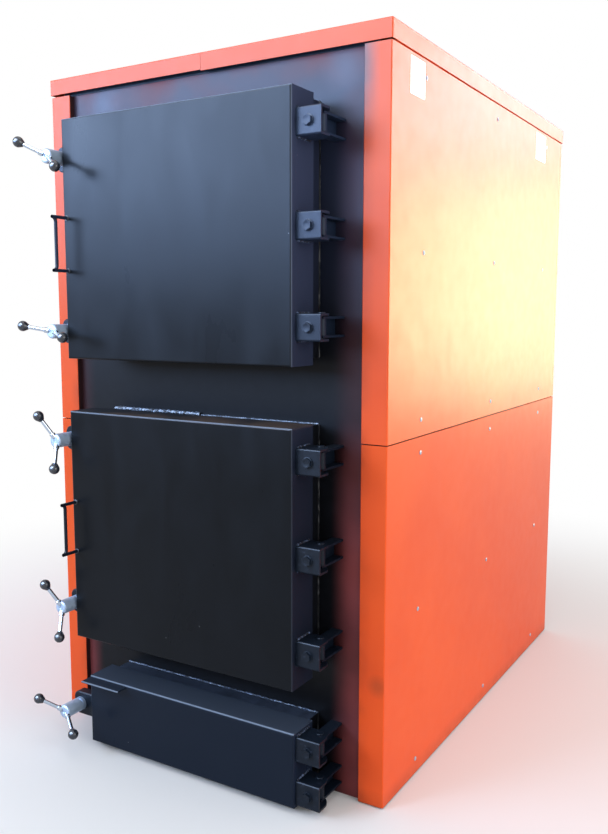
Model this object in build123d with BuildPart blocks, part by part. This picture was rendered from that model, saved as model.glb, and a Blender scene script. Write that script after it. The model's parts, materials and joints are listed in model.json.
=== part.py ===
from build123d import *
import math

# Hand-fired solid-fuel water boiler with three hinged doors, in millimetres.
# It stands on the floor with the origin under the middle of its jacket:
# +X is to the right seen from the front, +Y to the rear, +Z up, and the doors face -Y.

# Orange sheet jacket
jacket_width = 1194.0
jacket_depth = 1610.0
jacket_sheet = 2.0
sheet_bend = 3.0
strip_width = 78.0
front_recess = 18.0
rear_fold = 40.0
seam_height = 1020.0
seam_gap = 3.0
cover_height = 50.0
cover_overhang = 3.0
cover_gap = 4.0
cover_joint = 1.0
cover_lap = 3.0
ledge_width = 36.0
ledge_inset = 5.0
panel_floor_gap = 4.0

# Black front plate, base and the frame rims round the doorways
plate_thickness = 12.0
plate_side_gap = 10.0
base_thickness = 12.0
rim_wall = 12.0
rim_inset = 18.0
rim_top_inset = 8.0
rim_gap = 0.4

# Vessel inside the jacket
side_insulation = 95.0
water_wall = 100.0
rear_insulation = 85.0
cover_insulation = 66.0
crown_rise = 40.0
crown_thickness = 100.0
gas_pass = 150.0
pocket_pitch = 160.0
pocket_thickness = 60.0
pocket_floor_gap = 80.0
pocket_front_gap = 170.0
pocket_rear_gap = 275.0
grate_drop = 66.0
grate_pitch = 40.0
grate_bar_top = 24.0
grate_bar_foot = 14.0
grate_bar_depth = 60.0
grate_front_gap = 12.0
grate_rear_gap = 63.0
bearer_size = 60.0
bearer_inset = 160.0

# Doors, stacked from the floor up to the jacket's top
ash_door_bottom = 16.0
ash_door_height = 216.0
ash_door_gap = 124.0
middle_door_height = 714.0
middle_door_gap = 160.0
upper_door_height = 702.0
upper_door_gap = 168.0
door_margin = 199.0
ash_door_inset = 42.0
door_stand_off = 47.0
door_thickness = 110.0
ash_door_thickness = 100.0
door_skin = 6.0
door_edge_radius = 5.0
liner_gap = 0.3
seal_width = 30.0
seal_depth = 15.0

# Hinges: a clevis lug on the door turns on a pin in the barrel of a channel bracket
hinge_reach = 47.0
hinge_forward = 38.0
hinge_drop = 88.0
hinge_rise = 102.0
ash_hinge_drop = 47.0
ash_hinge_rise = 42.0
lug_width = 74.0
lug_height = 72.0
lug_sheet = 6.0
lug_bend = 5.0
lug_front_gap = 46.0
lug_tail = 18.0
lug_corner = 34.0
bracket_height = 55.0
bracket_sheet = 6.0
bracket_back = 22.0
barrel_radius = 13.0
pin_radius = 8.0
pin_gap = 0.1
pin_head_radius = 11.0
pin_head_height = 3.0
adjuster_flats = 24.0
adjuster_head = 10.0

# Screw clamps at the doors' left edges
clamp_margin = 173.0
upper_clamp_drop = 108.0
upper_clamp_rise = 82.0
middle_clamp_drop = 90.0
middle_clamp_rise = 99.0
ash_clamp_rise = 98.0
clamp_lug_height = 74.0
clamp_lug_margin = 31.0
clamp_lug_corner = 20.0
clamp_lug_chamfer = 3.0
clamp_lug_thickness = 30.0
clamp_lug_forward = 45.0
screw_radius = 10.0
screw_gap = 0.2
screw_tail = 35.0
keeper_gap = 5.0
keeper_flats = 40.0
keeper_bore_depth = 40.0
keeper_bore_gap = 0.4
hub_radius = 21.5
hub_length = 76.0
hub_chamfer = 3.0
hub_gap = 0.3
arm_radius = 6.0
arm_setback = 10.0
arm_reach = 94.0
arm_rake = 27.0
ball_radius = 16.0
ball_flat = 2.0
ball_sides = 16
ball_rows = 8
rod_sides = 12
upper_top_arm_angle = 151.0
upper_bottom_arm_angle = 169.0
middle_top_arm_angle = 111.0
middle_bottom_arm_angle = 109.0
ash_arm_angle = 151.0

# Handles
bow_rod_radius = 5.0
bow_span = 155.0
bow_reach = 72.0
upper_bow_drop = 12.0
middle_bow_drop = 3.0
bow_bend = 14.0
bow_edge = 12.0
lip_width = 150.0
lip_depth = 39.0
lip_thickness = 4.0

# Rear connections
flue_drop = 294.0
flue_radius = 150.0
flue_wall = 4.0
flue_length = 100.0
flue_collar = 35.0
flue_collar_thickness = 6.0
sleeve_gap = 12.0
nozzle_inset = 297.0
flow_drop = 74.0
return_height = 210.0
nozzle_radius = 44.5
nozzle_wall = 4.0
nozzle_length = 100.0
flange_radius = 95.0
flange_thickness = 18.0
flange_pitch_radius = 75.0
flange_bolt_radius = 9.0
flange_bolt_count = 4

# Heights and planes that the pieces share
ash_door_top = ash_door_bottom + ash_door_height
middle_door_bottom = ash_door_top + ash_door_gap
middle_door_top = middle_door_bottom + middle_door_height
upper_door_bottom = middle_door_top + middle_door_gap
upper_door_top = upper_door_bottom + upper_door_height
jacket_height = upper_door_top + upper_door_gap
side = jacket_width / 2
front = -jacket_depth / 2
rear = jacket_depth / 2
plate_front = front + front_recess
plate_rear = plate_front + plate_thickness
plate_top = jacket_height - cover_height - cover_gap
vessel_rear = rear - rear_insulation
chamber_rear = vessel_rear - water_wall
vessel_side = side - jacket_sheet - side_insulation
chamber_side = vessel_side - water_wall
vessel_top = jacket_height - cover_insulation
chamber_top = vessel_top - water_wall
crown_height = middle_door_top + crown_rise
crown_top = crown_height + crown_thickness
grate_height = middle_door_bottom - grate_drop
flue_height = chamber_top - flue_drop
flow_height = vessel_top - flow_drop
nozzle_x = nozzle_inset - side
door_left = door_margin - side
door_right = side - door_margin
door_rear = front - door_stand_off
rim_front = door_rear + rim_gap
hinge_x = door_right + hinge_reach
hinge_y = door_rear - hinge_forward
clamp_lug_rear = door_rear - clamp_lug_forward
clamp_lug_front = clamp_lug_rear - clamp_lug_thickness
clamp_x = clamp_margin - side
hub_rear = clamp_lug_front - hub_gap
hub_front = hub_rear - hub_length
arm_y = hub_front + arm_setback


def facing(y):
    """A plane at depth y that faces the front, with its local axes along X and Z."""
    return Plane.XZ.offset(-y)


def between(left, right, low, high):
    """A rectangle in the open sketch, from one corner to the other."""
    with Locations(((left + right) / 2, (low + high) / 2)):
        Rectangle(right - left, high - low)


def slab(left, right, front_y, rear_y, low, high):
    """A plain slab between two corners."""
    with BuildPart() as plain:
        with BuildSketch(Plane.XY.offset(low)):
            between(left, right, front_y, rear_y)
        extrude(amount=high - low)
    return plain.part


def group(pieces):
    """Several loose pieces as one part."""
    with BuildPart() as loose:
        for piece in pieces:
            add(piece)
    return loose.part


def keep(piece, name):
    """Label a finished piece and write it."""
    piece.label = name
    export_step(piece, f"parts/{name}.step")


class Door:
    """Outline of a door, the places of its hinges and clamps, and its doorway."""

    def __init__(self, inset, bottom, top, thickness, hinge_heights, clamp_heights):
        self.left = door_left + inset
        self.right = door_right
        self.bottom = bottom
        self.top = top
        self.middle = (bottom + top) / 2
        self.front = door_rear - thickness
        self.hinges = hinge_heights
        self.clamps = clamp_heights
        self.way_left = self.left + rim_inset + rim_wall
        self.way_right = self.right - rim_inset - rim_wall
        self.way_bottom = self.bottom + rim_inset + rim_wall
        self.way_top = self.top - rim_top_inset - rim_wall


def three_hinges(bottom, top):
    """Three heights: near the door's top, near its bottom and halfway between those two."""
    high = top - hinge_drop
    low = bottom + hinge_rise
    return [high, (high + low) / 2, low]


doors = {
    "upper": Door(0, upper_door_bottom, upper_door_top, door_thickness,
                  three_hinges(upper_door_bottom, upper_door_top),
                  {"top": upper_door_top - upper_clamp_drop,
                   "bottom": upper_door_bottom + upper_clamp_rise}),
    "middle": Door(0, middle_door_bottom, middle_door_top, door_thickness,
                   three_hinges(middle_door_bottom, middle_door_top),
                   {"top": middle_door_top - middle_clamp_drop,
                    "bottom": middle_door_bottom + middle_clamp_rise}),
    "ash": Door(ash_door_inset, ash_door_bottom, ash_door_top, ash_door_thickness,
                [ash_door_top - ash_hinge_drop, ash_door_bottom + ash_hinge_rise],
                {"side": ash_door_bottom + ash_clamp_rise}),
}
arm_angles = {
    "upper_top": upper_top_arm_angle,
    "upper_bottom": upper_bottom_arm_angle,
    "middle_top": middle_top_arm_angle,
    "middle_bottom": middle_bottom_arm_angle,
    "ash_side": ash_arm_angle,
}


# Front plate, base plate and door frames
with BuildPart() as front_plate:
    with BuildSketch(facing(plate_front)):
        between(plate_side_gap - side, side - plate_side_gap, 0, plate_top)
    extrude(amount=-plate_thickness)
    with BuildSketch(facing(plate_front)):
        for door in doors.values():
            between(door.way_left, door.way_right, door.way_bottom, door.way_top)
    extrude(amount=-plate_thickness, mode=Mode.SUBTRACT)
keep(front_plate.part, "front_plate")

base_plate = slab(plate_side_gap - side, side - plate_side_gap, plate_rear, rear - jacket_sheet,
                  0, base_thickness)
keep(base_plate, "base_plate")

for name, door in doors.items():
    with BuildPart() as door_frame:
        with BuildSketch(facing(plate_front)):
            between(door.way_left - rim_wall, door.way_right + rim_wall,
                    door.way_bottom - rim_wall, door.way_top + rim_wall)
            with Locations(((door.way_left + door.way_right) / 2, (door.way_bottom + door.way_top) / 2)):
                Rectangle(door.way_right - door.way_left, door.way_top - door.way_bottom,
                          mode=Mode.SUBTRACT)
        extrude(amount=plate_front - rim_front)
    keep(door_frame.part, f"{name}_door_frame")


# Jacket panels: each side sheet folds round the front as a strip and back to the front plate
def side_panel(low, high, ledge):
    with BuildPart() as panel:
        with BuildSketch(Plane.XY.offset(low)):
            between(side - jacket_sheet, side, front, rear)
            between(side - strip_width, side, front, front + jacket_sheet)
            between(side - strip_width, side - strip_width + jacket_sheet, front, plate_front)
            between(side - rear_fold, side, rear - jacket_sheet, rear)
        extrude(amount=high - low)
        uprights = panel.edges().filter_by(Axis.Z)
        front_bends = uprights.group_by(Axis.Y)[0]
        rear_bend = uprights.group_by(Axis.X)[-1].sort_by(Axis.Y)[-1]
        fillet(front_bends + [rear_bend], radius=sheet_bend)
        if ledge:
            with BuildSketch(Plane.XY.offset(high)):
                between(side - ledge_inset - ledge_width, side - ledge_inset,
                        plate_rear, rear - jacket_sheet)
            extrude(amount=cover_gap)
            with BuildSketch(Plane.XY.offset(high - jacket_sheet)):
                between(side - ledge_inset - ledge_width, side - jacket_sheet,
                        plate_rear, rear - jacket_sheet)
            extrude(amount=jacket_sheet)
    return panel.part


right_lower_panel = side_panel(panel_floor_gap, seam_height - seam_gap / 2, False)
right_upper_panel = side_panel(seam_height + seam_gap / 2, plate_top, True)
keep(right_lower_panel, "right_lower_panel")
keep(right_upper_panel, "right_upper_panel")
keep(mirror(right_lower_panel, about=Plane.YZ), "left_lower_panel")
keep(mirror(right_upper_panel, about=Plane.YZ), "left_upper_panel")

with BuildPart() as rear_upper_panel:
    with BuildSketch(facing(rear)):
        between(rear_fold - side, side - rear_fold, seam_height + seam_gap / 2, plate_top)
        with Locations((0, flue_height)):
            Circle(flue_radius + sleeve_gap, mode=Mode.SUBTRACT)
        with Locations((nozzle_x, flow_height)):
            Circle(nozzle_radius + sleeve_gap, mode=Mode.SUBTRACT)
    extrude(amount=jacket_sheet)
keep(rear_upper_panel.part, "rear_upper_panel")

with BuildPart() as rear_lower_panel:
    with BuildSketch(facing(rear)):
        between(rear_fold - side, side - rear_fold, panel_floor_gap, seam_height - seam_gap / 2)
        with Locations((nozzle_x, return_height)):
            Circle(nozzle_radius + sleeve_gap, mode=Mode.SUBTRACT)
    extrude(amount=jacket_sheet)
keep(rear_lower_panel.part, "rear_lower_panel")


# Top cover: two shallow trays whose turned-in lips rest on the side panels' ledges
def cover_half(skirt):
    outer_side = side + cover_overhang
    outer_front = front - cover_overhang
    outer_rear = rear + cover_overhang
    with BuildPart() as tray:
        with BuildSketch(Plane.XY.offset(jacket_height - skirt)):
            between(outer_side - jacket_sheet, outer_side, outer_front, outer_rear)
            between(cover_joint / 2, outer_side, outer_front, outer_front + jacket_sheet)
            between(cover_joint / 2, outer_side, outer_rear - jacket_sheet, outer_rear)
        extrude(amount=skirt)
        with BuildSketch(Plane.XY.offset(jacket_height - jacket_sheet)):
            between(cover_joint / 2, outer_side, outer_front, outer_rear)
        extrude(amount=jacket_sheet)
        top_bends = tray.faces().sort_by(Axis.Z)[-1].edges().sort_by(Axis.X)[1:]
        corner_bends = tray.edges().filter_by(Axis.Z).group_by(Axis.X)[-1]
        fillet(top_bends + corner_bends, radius=sheet_bend)
        with BuildSketch(Plane.XY.offset(jacket_height - cover_height)):
            between(side - ledge_inset - ledge_width, outer_side - jacket_sheet,
                    plate_rear, outer_rear - jacket_sheet)
        extrude(amount=cover_lap + jacket_sheet)
    return tray.part


keep(cover_half(cover_height), "top_cover_right")
keep(mirror(cover_half(cover_height - cover_lap), about=Plane.YZ), "top_cover_left")


# Water vessel, seen through the open doors
right_water_wall = slab(chamber_side, vessel_side, plate_rear, vessel_rear,
                        base_thickness, vessel_top)
keep(group([right_water_wall, mirror(right_water_wall, about=Plane.YZ)]), "side_water_walls")

with BuildPart() as rear_water_wall:
    with BuildSketch(facing(vessel_rear)):
        between(-chamber_side, chamber_side, base_thickness, vessel_top)
        with Locations((0, flue_height)):
            Circle(flue_radius - flue_wall, mode=Mode.SUBTRACT)
    extrude(amount=water_wall)
keep(rear_water_wall.part, "rear_water_wall")

keep(slab(-chamber_side, chamber_side, plate_rear, chamber_rear, chamber_top, vessel_top),
     "top_water_box")
keep(slab(-chamber_side, chamber_side, plate_rear, chamber_rear - gas_pass,
          crown_height, crown_top), "crown_water_box")

pocket_front = plate_rear + pocket_front_gap
pocket_rear = chamber_rear - pocket_rear_gap
pocket_count = int(2 * chamber_side // pocket_pitch) - 1
with BuildPart() as flue_water_pockets:
    with BuildSketch(Plane.XY.offset(chamber_top)):
        with Locations((0, (pocket_front + pocket_rear) / 2)):
            with GridLocations(pocket_pitch, 0, pocket_count, 1):
                Rectangle(pocket_thickness, pocket_rear - pocket_front)
    extrude(amount=crown_top + pocket_floor_gap - chamber_top)
keep(flue_water_pockets.part, "flue_water_pockets")


# Grate: tapered bars that lie across two bearers between the water walls
grate_front = plate_rear + grate_front_gap
grate_rear = chamber_rear - grate_rear_gap
grate_bar_count = int(2 * chamber_side // grate_pitch) - 1
bar_slope = math.degrees(math.atan((grate_bar_top - grate_bar_foot) / 2 / grate_bar_depth))
with BuildPart() as grate_bars:
    with BuildSketch(facing(grate_front)):
        with Locations((0, grate_height + grate_bar_depth / 2)):
            with GridLocations(grate_pitch, 0, grate_bar_count, 1):
                Trapezoid(grate_bar_top, grate_bar_depth, 90 + bar_slope)
    extrude(amount=grate_front - grate_rear)
keep(grate_bars.part, "grate_bars")

with BuildPart() as grate_bearers:
    with BuildSketch(Plane.YZ.offset(-chamber_side)):
        for middle in (grate_front + bearer_inset, grate_rear - bearer_inset):
            with Locations((middle, grate_height - bearer_size / 2)):
                Rectangle(bearer_size, bearer_size)
    extrude(amount=2 * chamber_side)
keep(grate_bearers.part, "grate_bearers")


# Flue spigot: a round pipe off the rear water wall with a collar that hides its hole in the jacket
flue_end = rear + flue_collar_thickness + flue_length
with BuildPart() as flue_spigot:
    with BuildSketch(facing(vessel_rear)):
        with Locations((0, flue_height)):
            Circle(flue_radius)
    extrude(amount=vessel_rear - flue_end)
    with BuildSketch(facing(rear)):
        with Locations((0, flue_height)):
            Circle(flue_radius + flue_collar)
    extrude(amount=-flue_collar_thickness)
    with BuildSketch(facing(vessel_rear)):
        with Locations((0, flue_height)):
            Circle(flue_radius - flue_wall)
    extrude(amount=vessel_rear - flue_end, mode=Mode.SUBTRACT)
keep(flue_spigot.part, "flue_spigot")


# Flanged water nozzles on the rear water wall
def nozzle(height):
    flange_face = rear + nozzle_length
    with BuildPart() as stub:
        with BuildSketch(facing(vessel_rear)):
            with Locations((nozzle_x, height)):
                Circle(nozzle_radius)
        extrude(amount=vessel_rear - flange_face)
        with BuildSketch(facing(flange_face)):
            with Locations((nozzle_x, height)):
                Circle(flange_radius)
                with PolarLocations(flange_pitch_radius, flange_bolt_count, start_angle=45):
                    Circle(flange_bolt_radius, mode=Mode.SUBTRACT)
        extrude(amount=flange_thickness)
        with BuildSketch(facing(flange_face)):
            with Locations((nozzle_x, height)):
                Circle(nozzle_radius - nozzle_wall)
        extrude(amount=flange_face - vessel_rear, mode=Mode.SUBTRACT)
    return stub.part


keep(nozzle(flow_height), "flow_nozzle")
keep(nozzle(return_height), "return_nozzle")


# Hinge brackets: an open channel off the front plate with the pin's barrel at its end
def hinge_bracket(height):
    half = bracket_height / 2
    left = hinge_x - bracket_back
    right = hinge_x + barrel_radius
    with BuildPart() as bracket:
        with BuildSketch(facing(plate_front)):
            between(left, left + bracket_sheet, height - half, height + half)
            between(left, right, height + half - bracket_sheet, height + half)
            between(left, right, height - half, height - half + bracket_sheet)
        extrude(amount=plate_front - hinge_y + barrel_radius)
        with BuildSketch(Plane.XY.offset(height - half)):
            with Locations((hinge_x, hinge_y)):
                Circle(barrel_radius)
        extrude(amount=bracket_height)
        with BuildSketch(Plane.XY.offset(height - half)):
            with Locations((hinge_x, hinge_y)):
                Circle(pin_radius + pin_gap)
        extrude(amount=bracket_height, mode=Mode.SUBTRACT)
    return bracket.part


keep(group([hinge_bracket(z) for door in doors.values() for z in door.hinges]), "hinge_brackets")


# Clamp keepers: bosses off the front plate that take the clamp screws
def clamp_keeper(height):
    keeper_front = clamp_lug_rear + screw_tail + keeper_gap
    with BuildPart() as boss:
        with BuildSketch(facing(plate_front)):
            with Locations((clamp_x, height)):
                RegularPolygon(keeper_flats / 2, 6, major_radius=False, rotation=30)
        extrude(amount=plate_front - keeper_front)
        with BuildSketch(facing(keeper_front)):
            with Locations((clamp_x, height)):
                Circle(screw_radius + keeper_bore_gap)
        extrude(amount=-keeper_bore_depth, mode=Mode.SUBTRACT)
    return boss.part


keep(group([clamp_keeper(z) for door in doors.values() for z in door.clamps.values()]), "clamp_keepers")


# Doors: a folded pan, a stepped refractory liner and a rope seal round the liner's step
def door_shell(door):
    with BuildPart() as pan:
        with BuildSketch(facing(door_rear)):
            between(door.left, door.right, door.bottom, door.top)
        extrude(amount=door_rear - door.front)
        front_face = pan.faces().sort_by(Axis.Y)[0]
        fillet(front_face.edges(), radius=door_edge_radius)
        with BuildSketch(facing(door_rear)):
            between(door.left + door_skin, door.right - door_skin,
                    door.bottom + door_skin, door.top - door_skin)
        extrude(amount=door_rear - door.front - door_skin, mode=Mode.SUBTRACT)
    return pan.part


def door_liner(door):
    wide = door_skin + liner_gap
    narrow = wide + seal_width
    with BuildPart() as liner:
        with BuildSketch(facing(door_rear - seal_depth)):
            between(door.left + wide, door.right - wide, door.bottom + wide, door.top - wide)
        extrude(amount=door_rear - seal_depth - door.front - door_skin)
        with BuildSketch(facing(door_rear)):
            between(door.left + narrow, door.right - narrow, door.bottom + narrow, door.top - narrow)
        extrude(amount=seal_depth)
    return liner.part


def door_seal(door):
    outer = door_skin + 2 * liner_gap
    inner = door_skin + seal_width
    with BuildPart() as rope:
        with BuildSketch(facing(door_rear)):
            between(door.left + outer, door.right - outer, door.bottom + outer, door.top - outer)
            with Locations(((door.left + door.right) / 2, door.middle)):
                Rectangle(door.right - door.left - 2 * inner, door.top - door.bottom - 2 * inner,
                          mode=Mode.SUBTRACT)
        extrude(amount=seal_depth)
    return rope.part


# Hinge lugs: a channel on the door's edge, its flanges above and below the bracket and rounded at the pin
def hinge_lug(height):
    half = lug_height / 2
    web_front = hinge_y - lug_front_gap - lug_sheet
    tail = hinge_y + lug_tail
    with BuildPart() as lug:
        with BuildSketch(Plane.YZ.offset(door_right)):
            between(web_front, tail, height - half, height + half)
        extrude(amount=lug_width)
        bends = lug.edges().filter_by(Axis.X).group_by(Axis.Y)[0]
        fillet(bends, radius=lug_bend)
        pin_corner = lug.edges().filter_by(Axis.Z).group_by(Axis.X)[-1].group_by(Axis.Y)[-1]
        fillet(pin_corner, radius=lug_corner)
        with BuildSketch(Plane.YZ.offset(door_right)):
            between(web_front + lug_sheet, tail, height - half + lug_sheet, height + half - lug_sheet)
        extrude(amount=lug_width, mode=Mode.SUBTRACT)
        with BuildSketch(Plane.XY.offset(height - half)):
            with Locations((hinge_x, hinge_y)):
                Circle(pin_radius + pin_gap)
        extrude(amount=lug_height, mode=Mode.SUBTRACT)
    return lug.part


def hinge_pin(height):
    half = lug_height / 2
    with BuildPart() as pin:
        with BuildSketch(Plane.XY.offset(height - half)):
            with Locations((hinge_x, hinge_y)):
                Circle(pin_radius)
        extrude(amount=lug_height)
        with BuildSketch(Plane.XY.offset(height + half)):
            with Locations((hinge_x, hinge_y)):
                Circle(pin_head_radius)
        extrude(amount=pin_head_height)
    return pin.part


def adjuster_bolt(height):
    web_front = hinge_y - lug_front_gap - lug_sheet
    with BuildPart() as bolt:
        with BuildSketch(facing(web_front)):
            with Locations((door_right + lug_width / 2, height)):
                RegularPolygon(adjuster_flats / 2, 6, major_radius=False)
        extrude(amount=adjuster_head)
    return bolt.part


# Clamp lugs: blocks off the door's left edge with rounded outer corners, bored for the clamp screws
def clamp_lug(door, height):
    half = clamp_lug_height / 2
    with BuildPart() as lug:
        with BuildSketch(facing(clamp_lug_rear)) as outline:
            between(clamp_x - clamp_lug_margin, door.left, height - half, height + half)
            fillet(outline.vertices().group_by(Axis.X)[0], radius=clamp_lug_corner)
        extrude(amount=clamp_lug_thickness)
        rim = lug.faces().sort_by(Axis.Y)[0].edges().sort_by(Axis.X)[:-1]
        chamfer(rim, length=clamp_lug_chamfer)
        with BuildSketch(facing(clamp_lug_front)):
            with Locations((clamp_x, height)):
                Circle(screw_radius + screw_gap)
        extrude(amount=-clamp_lug_thickness, mode=Mode.SUBTRACT)
    return lug.part


# Bow handle: a bent rod that stands off the door's face
def bow_handle(door, drop):
    x = door.left + bow_edge
    grip_y = door.front - bow_reach
    low = door.middle - drop - bow_span / 2
    high = low + bow_span
    with BuildPart() as bow:
        with BuildLine() as path:
            FilletPolyline((x, door.front, low), (x, grip_y, low), (x, grip_y, high),
                           (x, door.front, high), radius=bow_bend)
        with BuildSketch(Plane((x, door.front, low), z_dir=(0, -1, 0))):
            RegularPolygon(bow_rod_radius, rod_sides)
        sweep(path=path.line, transition=Transition.ROUND)
    return bow.part


for name, door in doors.items():
    keep(door_shell(door), f"{name}_door_shell")
    keep(door_liner(door), f"{name}_door_liner")
    keep(door_seal(door), f"{name}_door_seal")
    keep(group([hinge_lug(z) for z in door.hinges]), f"{name}_hinge_lugs")
    keep(group([hinge_pin(z) for z in door.hinges] + [adjuster_bolt(z) for z in door.hinges]),
         f"{name}_hinge_bolts")
    keep(group([clamp_lug(door, z) for z in door.clamps.values()]), f"{name}_clamp_lugs")

keep(bow_handle(doors["upper"], upper_bow_drop), "upper_door_handle")
keep(bow_handle(doors["middle"], middle_bow_drop), "middle_door_handle")

ash_door = doors["ash"]
keep(slab(ash_door.left, ash_door.left + lip_width, ash_door.front - lip_depth, ash_door.front,
          ash_door.top - door_edge_radius - lip_thickness, ash_door.top - door_edge_radius),
     "ash_door_handle")


# Screw clamps: a hub on its screw with two opposite arms raked to the front, each with a ball knob
def arm_plane(height, angle, reach):
    turn = math.radians(angle)
    rake = math.radians(arm_rake)
    way = Vector(math.cos(rake) * math.cos(turn), -math.sin(rake), math.cos(rake) * math.sin(turn))
    return Plane(Vector(clamp_x, arm_y, height) + way * reach, z_dir=way)


def clamp_handle(height, angles):
    with BuildPart() as handle:
        with BuildSketch(facing(hub_rear)):
            with Locations((clamp_x, height)):
                Circle(hub_radius)
        extrude(amount=hub_length)
        chamfer(handle.faces().sort_by(Axis.Y)[0].edges(), length=hub_chamfer)
        with BuildSketch(facing(hub_rear)):
            with Locations((clamp_x, height)):
                Circle(screw_radius)
        extrude(amount=-hub_gap - clamp_lug_thickness - screw_tail)
        for angle in angles:
            with BuildSketch(arm_plane(height, angle, 0)):
                RegularPolygon(arm_radius, rod_sides)
            extrude(amount=arm_reach - ball_radius + ball_flat)
    return handle.part


def ball_knob(height, angle):
    flat_turn = math.degrees(math.acos(1 - ball_flat / ball_radius))
    row_step = (180 - 2 * flat_turn) / ball_rows
    with BuildPart() as knob:
        for row in range(ball_rows + 1):
            turn = math.radians(flat_turn + row * row_step)
            with BuildSketch(arm_plane(height, angle, arm_reach - ball_radius * math.cos(turn))):
                RegularPolygon(ball_radius * math.sin(turn), ball_sides)
        loft(ruled=True)
    return knob.part


for door_name, door in doors.items():
    for place, height in door.clamps.items():
        name = f"{door_name}_{place}"
        angles = [arm_angles[name], arm_angles[name] + 180]
        keep(clamp_handle(height, angles), f"{name}_clamp_handle")
        keep(group([ball_knob(height, angle) for angle in angles]), f"{name}_clamp_balls")
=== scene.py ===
import json
import math

import bmesh
import bpy
from mathutils import Matrix, Vector


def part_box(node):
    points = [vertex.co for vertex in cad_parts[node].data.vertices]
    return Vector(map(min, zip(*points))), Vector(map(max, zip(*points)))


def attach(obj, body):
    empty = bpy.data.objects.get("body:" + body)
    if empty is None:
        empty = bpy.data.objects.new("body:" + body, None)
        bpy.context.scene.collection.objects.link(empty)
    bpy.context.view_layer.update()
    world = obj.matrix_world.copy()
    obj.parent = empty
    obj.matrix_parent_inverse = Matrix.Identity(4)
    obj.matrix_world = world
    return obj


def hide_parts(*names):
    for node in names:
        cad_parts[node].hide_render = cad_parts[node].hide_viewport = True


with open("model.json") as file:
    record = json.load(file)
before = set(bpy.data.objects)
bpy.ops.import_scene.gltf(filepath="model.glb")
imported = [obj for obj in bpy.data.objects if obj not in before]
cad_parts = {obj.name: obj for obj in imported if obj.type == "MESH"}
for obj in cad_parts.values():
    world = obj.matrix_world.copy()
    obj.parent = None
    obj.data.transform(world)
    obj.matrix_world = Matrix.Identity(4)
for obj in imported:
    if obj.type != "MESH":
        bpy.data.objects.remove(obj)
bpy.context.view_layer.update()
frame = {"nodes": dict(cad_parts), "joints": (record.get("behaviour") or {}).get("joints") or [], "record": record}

# A hand-fired water boiler: powder-coated jacket, black sprayed front and doors, plated screw clamps.
# Places come from the CAD frame, in metres: +X right, +Y to the rear, +Z up, the doors face -Y.

nodes = frame["nodes"]
joint_place = {joint["child"]: Vector(joint["pos_m"]) for joint in frame["joints"]}

# Clamp handles
hub_radius = 0.0215
hub_length = 0.076
hub_nose = 0.007
hub_dimple = 0.005
hub_dimple_slope = 0.002
hub_dimple_depth = 0.0025
hub_groove = (0.010, 0.015)
hub_groove_share = 0.88
hub_seat = 0.0003
screw_radius = 0.010
screw_tip = 0.002
arm_radius = 0.006
arm_collar_radius = 0.0085
arm_collar_height = 0.005
arm_collar_edge = 0.0015
arm_foot_share = 0.6
arm_reach = 0.094
arm_rake = math.radians(27)
ball_radius = 0.0158
ball_cut = 0.0088
ball_neck = 0.009
ball_neck_edge = 0.001
ball_taper = 0.58
arm_turn = {
    "upper_top_clamp": math.radians(151),
    "upper_bottom_clamp": math.radians(169),
    "middle_top_clamp": math.radians(111),
    "middle_bottom_clamp": math.radians(109),
    "ash_side_clamp": math.radians(151),
}

# Door bows, hinge bolts and pins
bow_radius = 0.005
bow_bend = 0.014
bow_weld_gap = 0.0012
bow_weld_radius = 0.0022
bow_weld_stray = 0.0007
hinge_count = {"upper": 3, "middle": 3, "ash": 2}
lug_height = 0.072
bolt_flats = 0.024
bolt_height = 0.010
bolt_chamfer = 0.0016
bolt_crown = 0.0001
bolt_hollow_rim = 0.0022
bolt_hollow = 0.0006
washer_radius = 0.0155
washer_height = 0.002
washer_edge = 0.0006
pin_radius = 0.008
pin_head_radius = 0.011
pin_head_height = 0.003
pin_head_edge = 0.0015

# Panel screws and stickers. Each ring of a screw's crown is a share of the head's radius and of its
# height, and the slots are turned by so many radians more from column to column and row to row.
screw_head_radius = 0.0065
screw_head_height = 0.0024
screw_crown = ((0.22, 0.3), (0.3, 0.2))
screw_slot = 0.0016
side_screw_turn = (0.7, 1.9)
rear_screw_turn = (0.9, 1.3)
side_screw_places = (-0.585, 0.008, 0.583)
rear_screw_places = (-0.535, 0.0, 0.535)
lower_screw_heights = (0.050, 0.512, 0.973)
upper_screw_heights = (1.068, 1.534, 2.000)
sticker_thickness = 0.0004
sticker_corner = 0.004
sticker_places = {"front_sticker": (-0.691, -0.596, 1.940, 2.037),
                  "rear_sticker": (0.447, 0.572, 1.938, 2.036)}

# Closing strips under the cap
closing_half_length = 0.558
closing_sheet = 0.0018
closing_height = 0.034
closing_foot = 0.018
closing_seat = 0.0002
closing_bend_share = 0.8

# Weld runs: the points of a run stray by a share of its width
weld_step = 0.004
weld_stray_share = 0.16
rough_weld_width = 0.014
rough_weld_proud = 0.004
rough_weld_rise = 0.003
rough_weld_indent = 0.010
rough_weld_end = -0.030
thin_weld_width = 0.006
thin_weld_proud = 0.002
thin_weld_rise = 0.001
lug_weld_width = 0.007
lug_weld_inset = 0.001
lug_weld_setback = 0.006

# Faces and edges that the paint follows
strip_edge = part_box("right_lower_panel")[0].x
strip_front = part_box("right_lower_panel")[0].y
seam_height = (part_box("right_lower_panel")[1].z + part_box("right_upper_panel")[0].z) / 2
cap_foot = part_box("top_cover_left")[0].z
cap_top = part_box("top_cover_left")[1].z
plate_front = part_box("front_plate")[0].y
door_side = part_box("upper_door_shell")[1].x
door_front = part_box("upper_door_shell")[0].y
fire_door_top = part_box("middle_door_shell")[1].z


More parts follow.
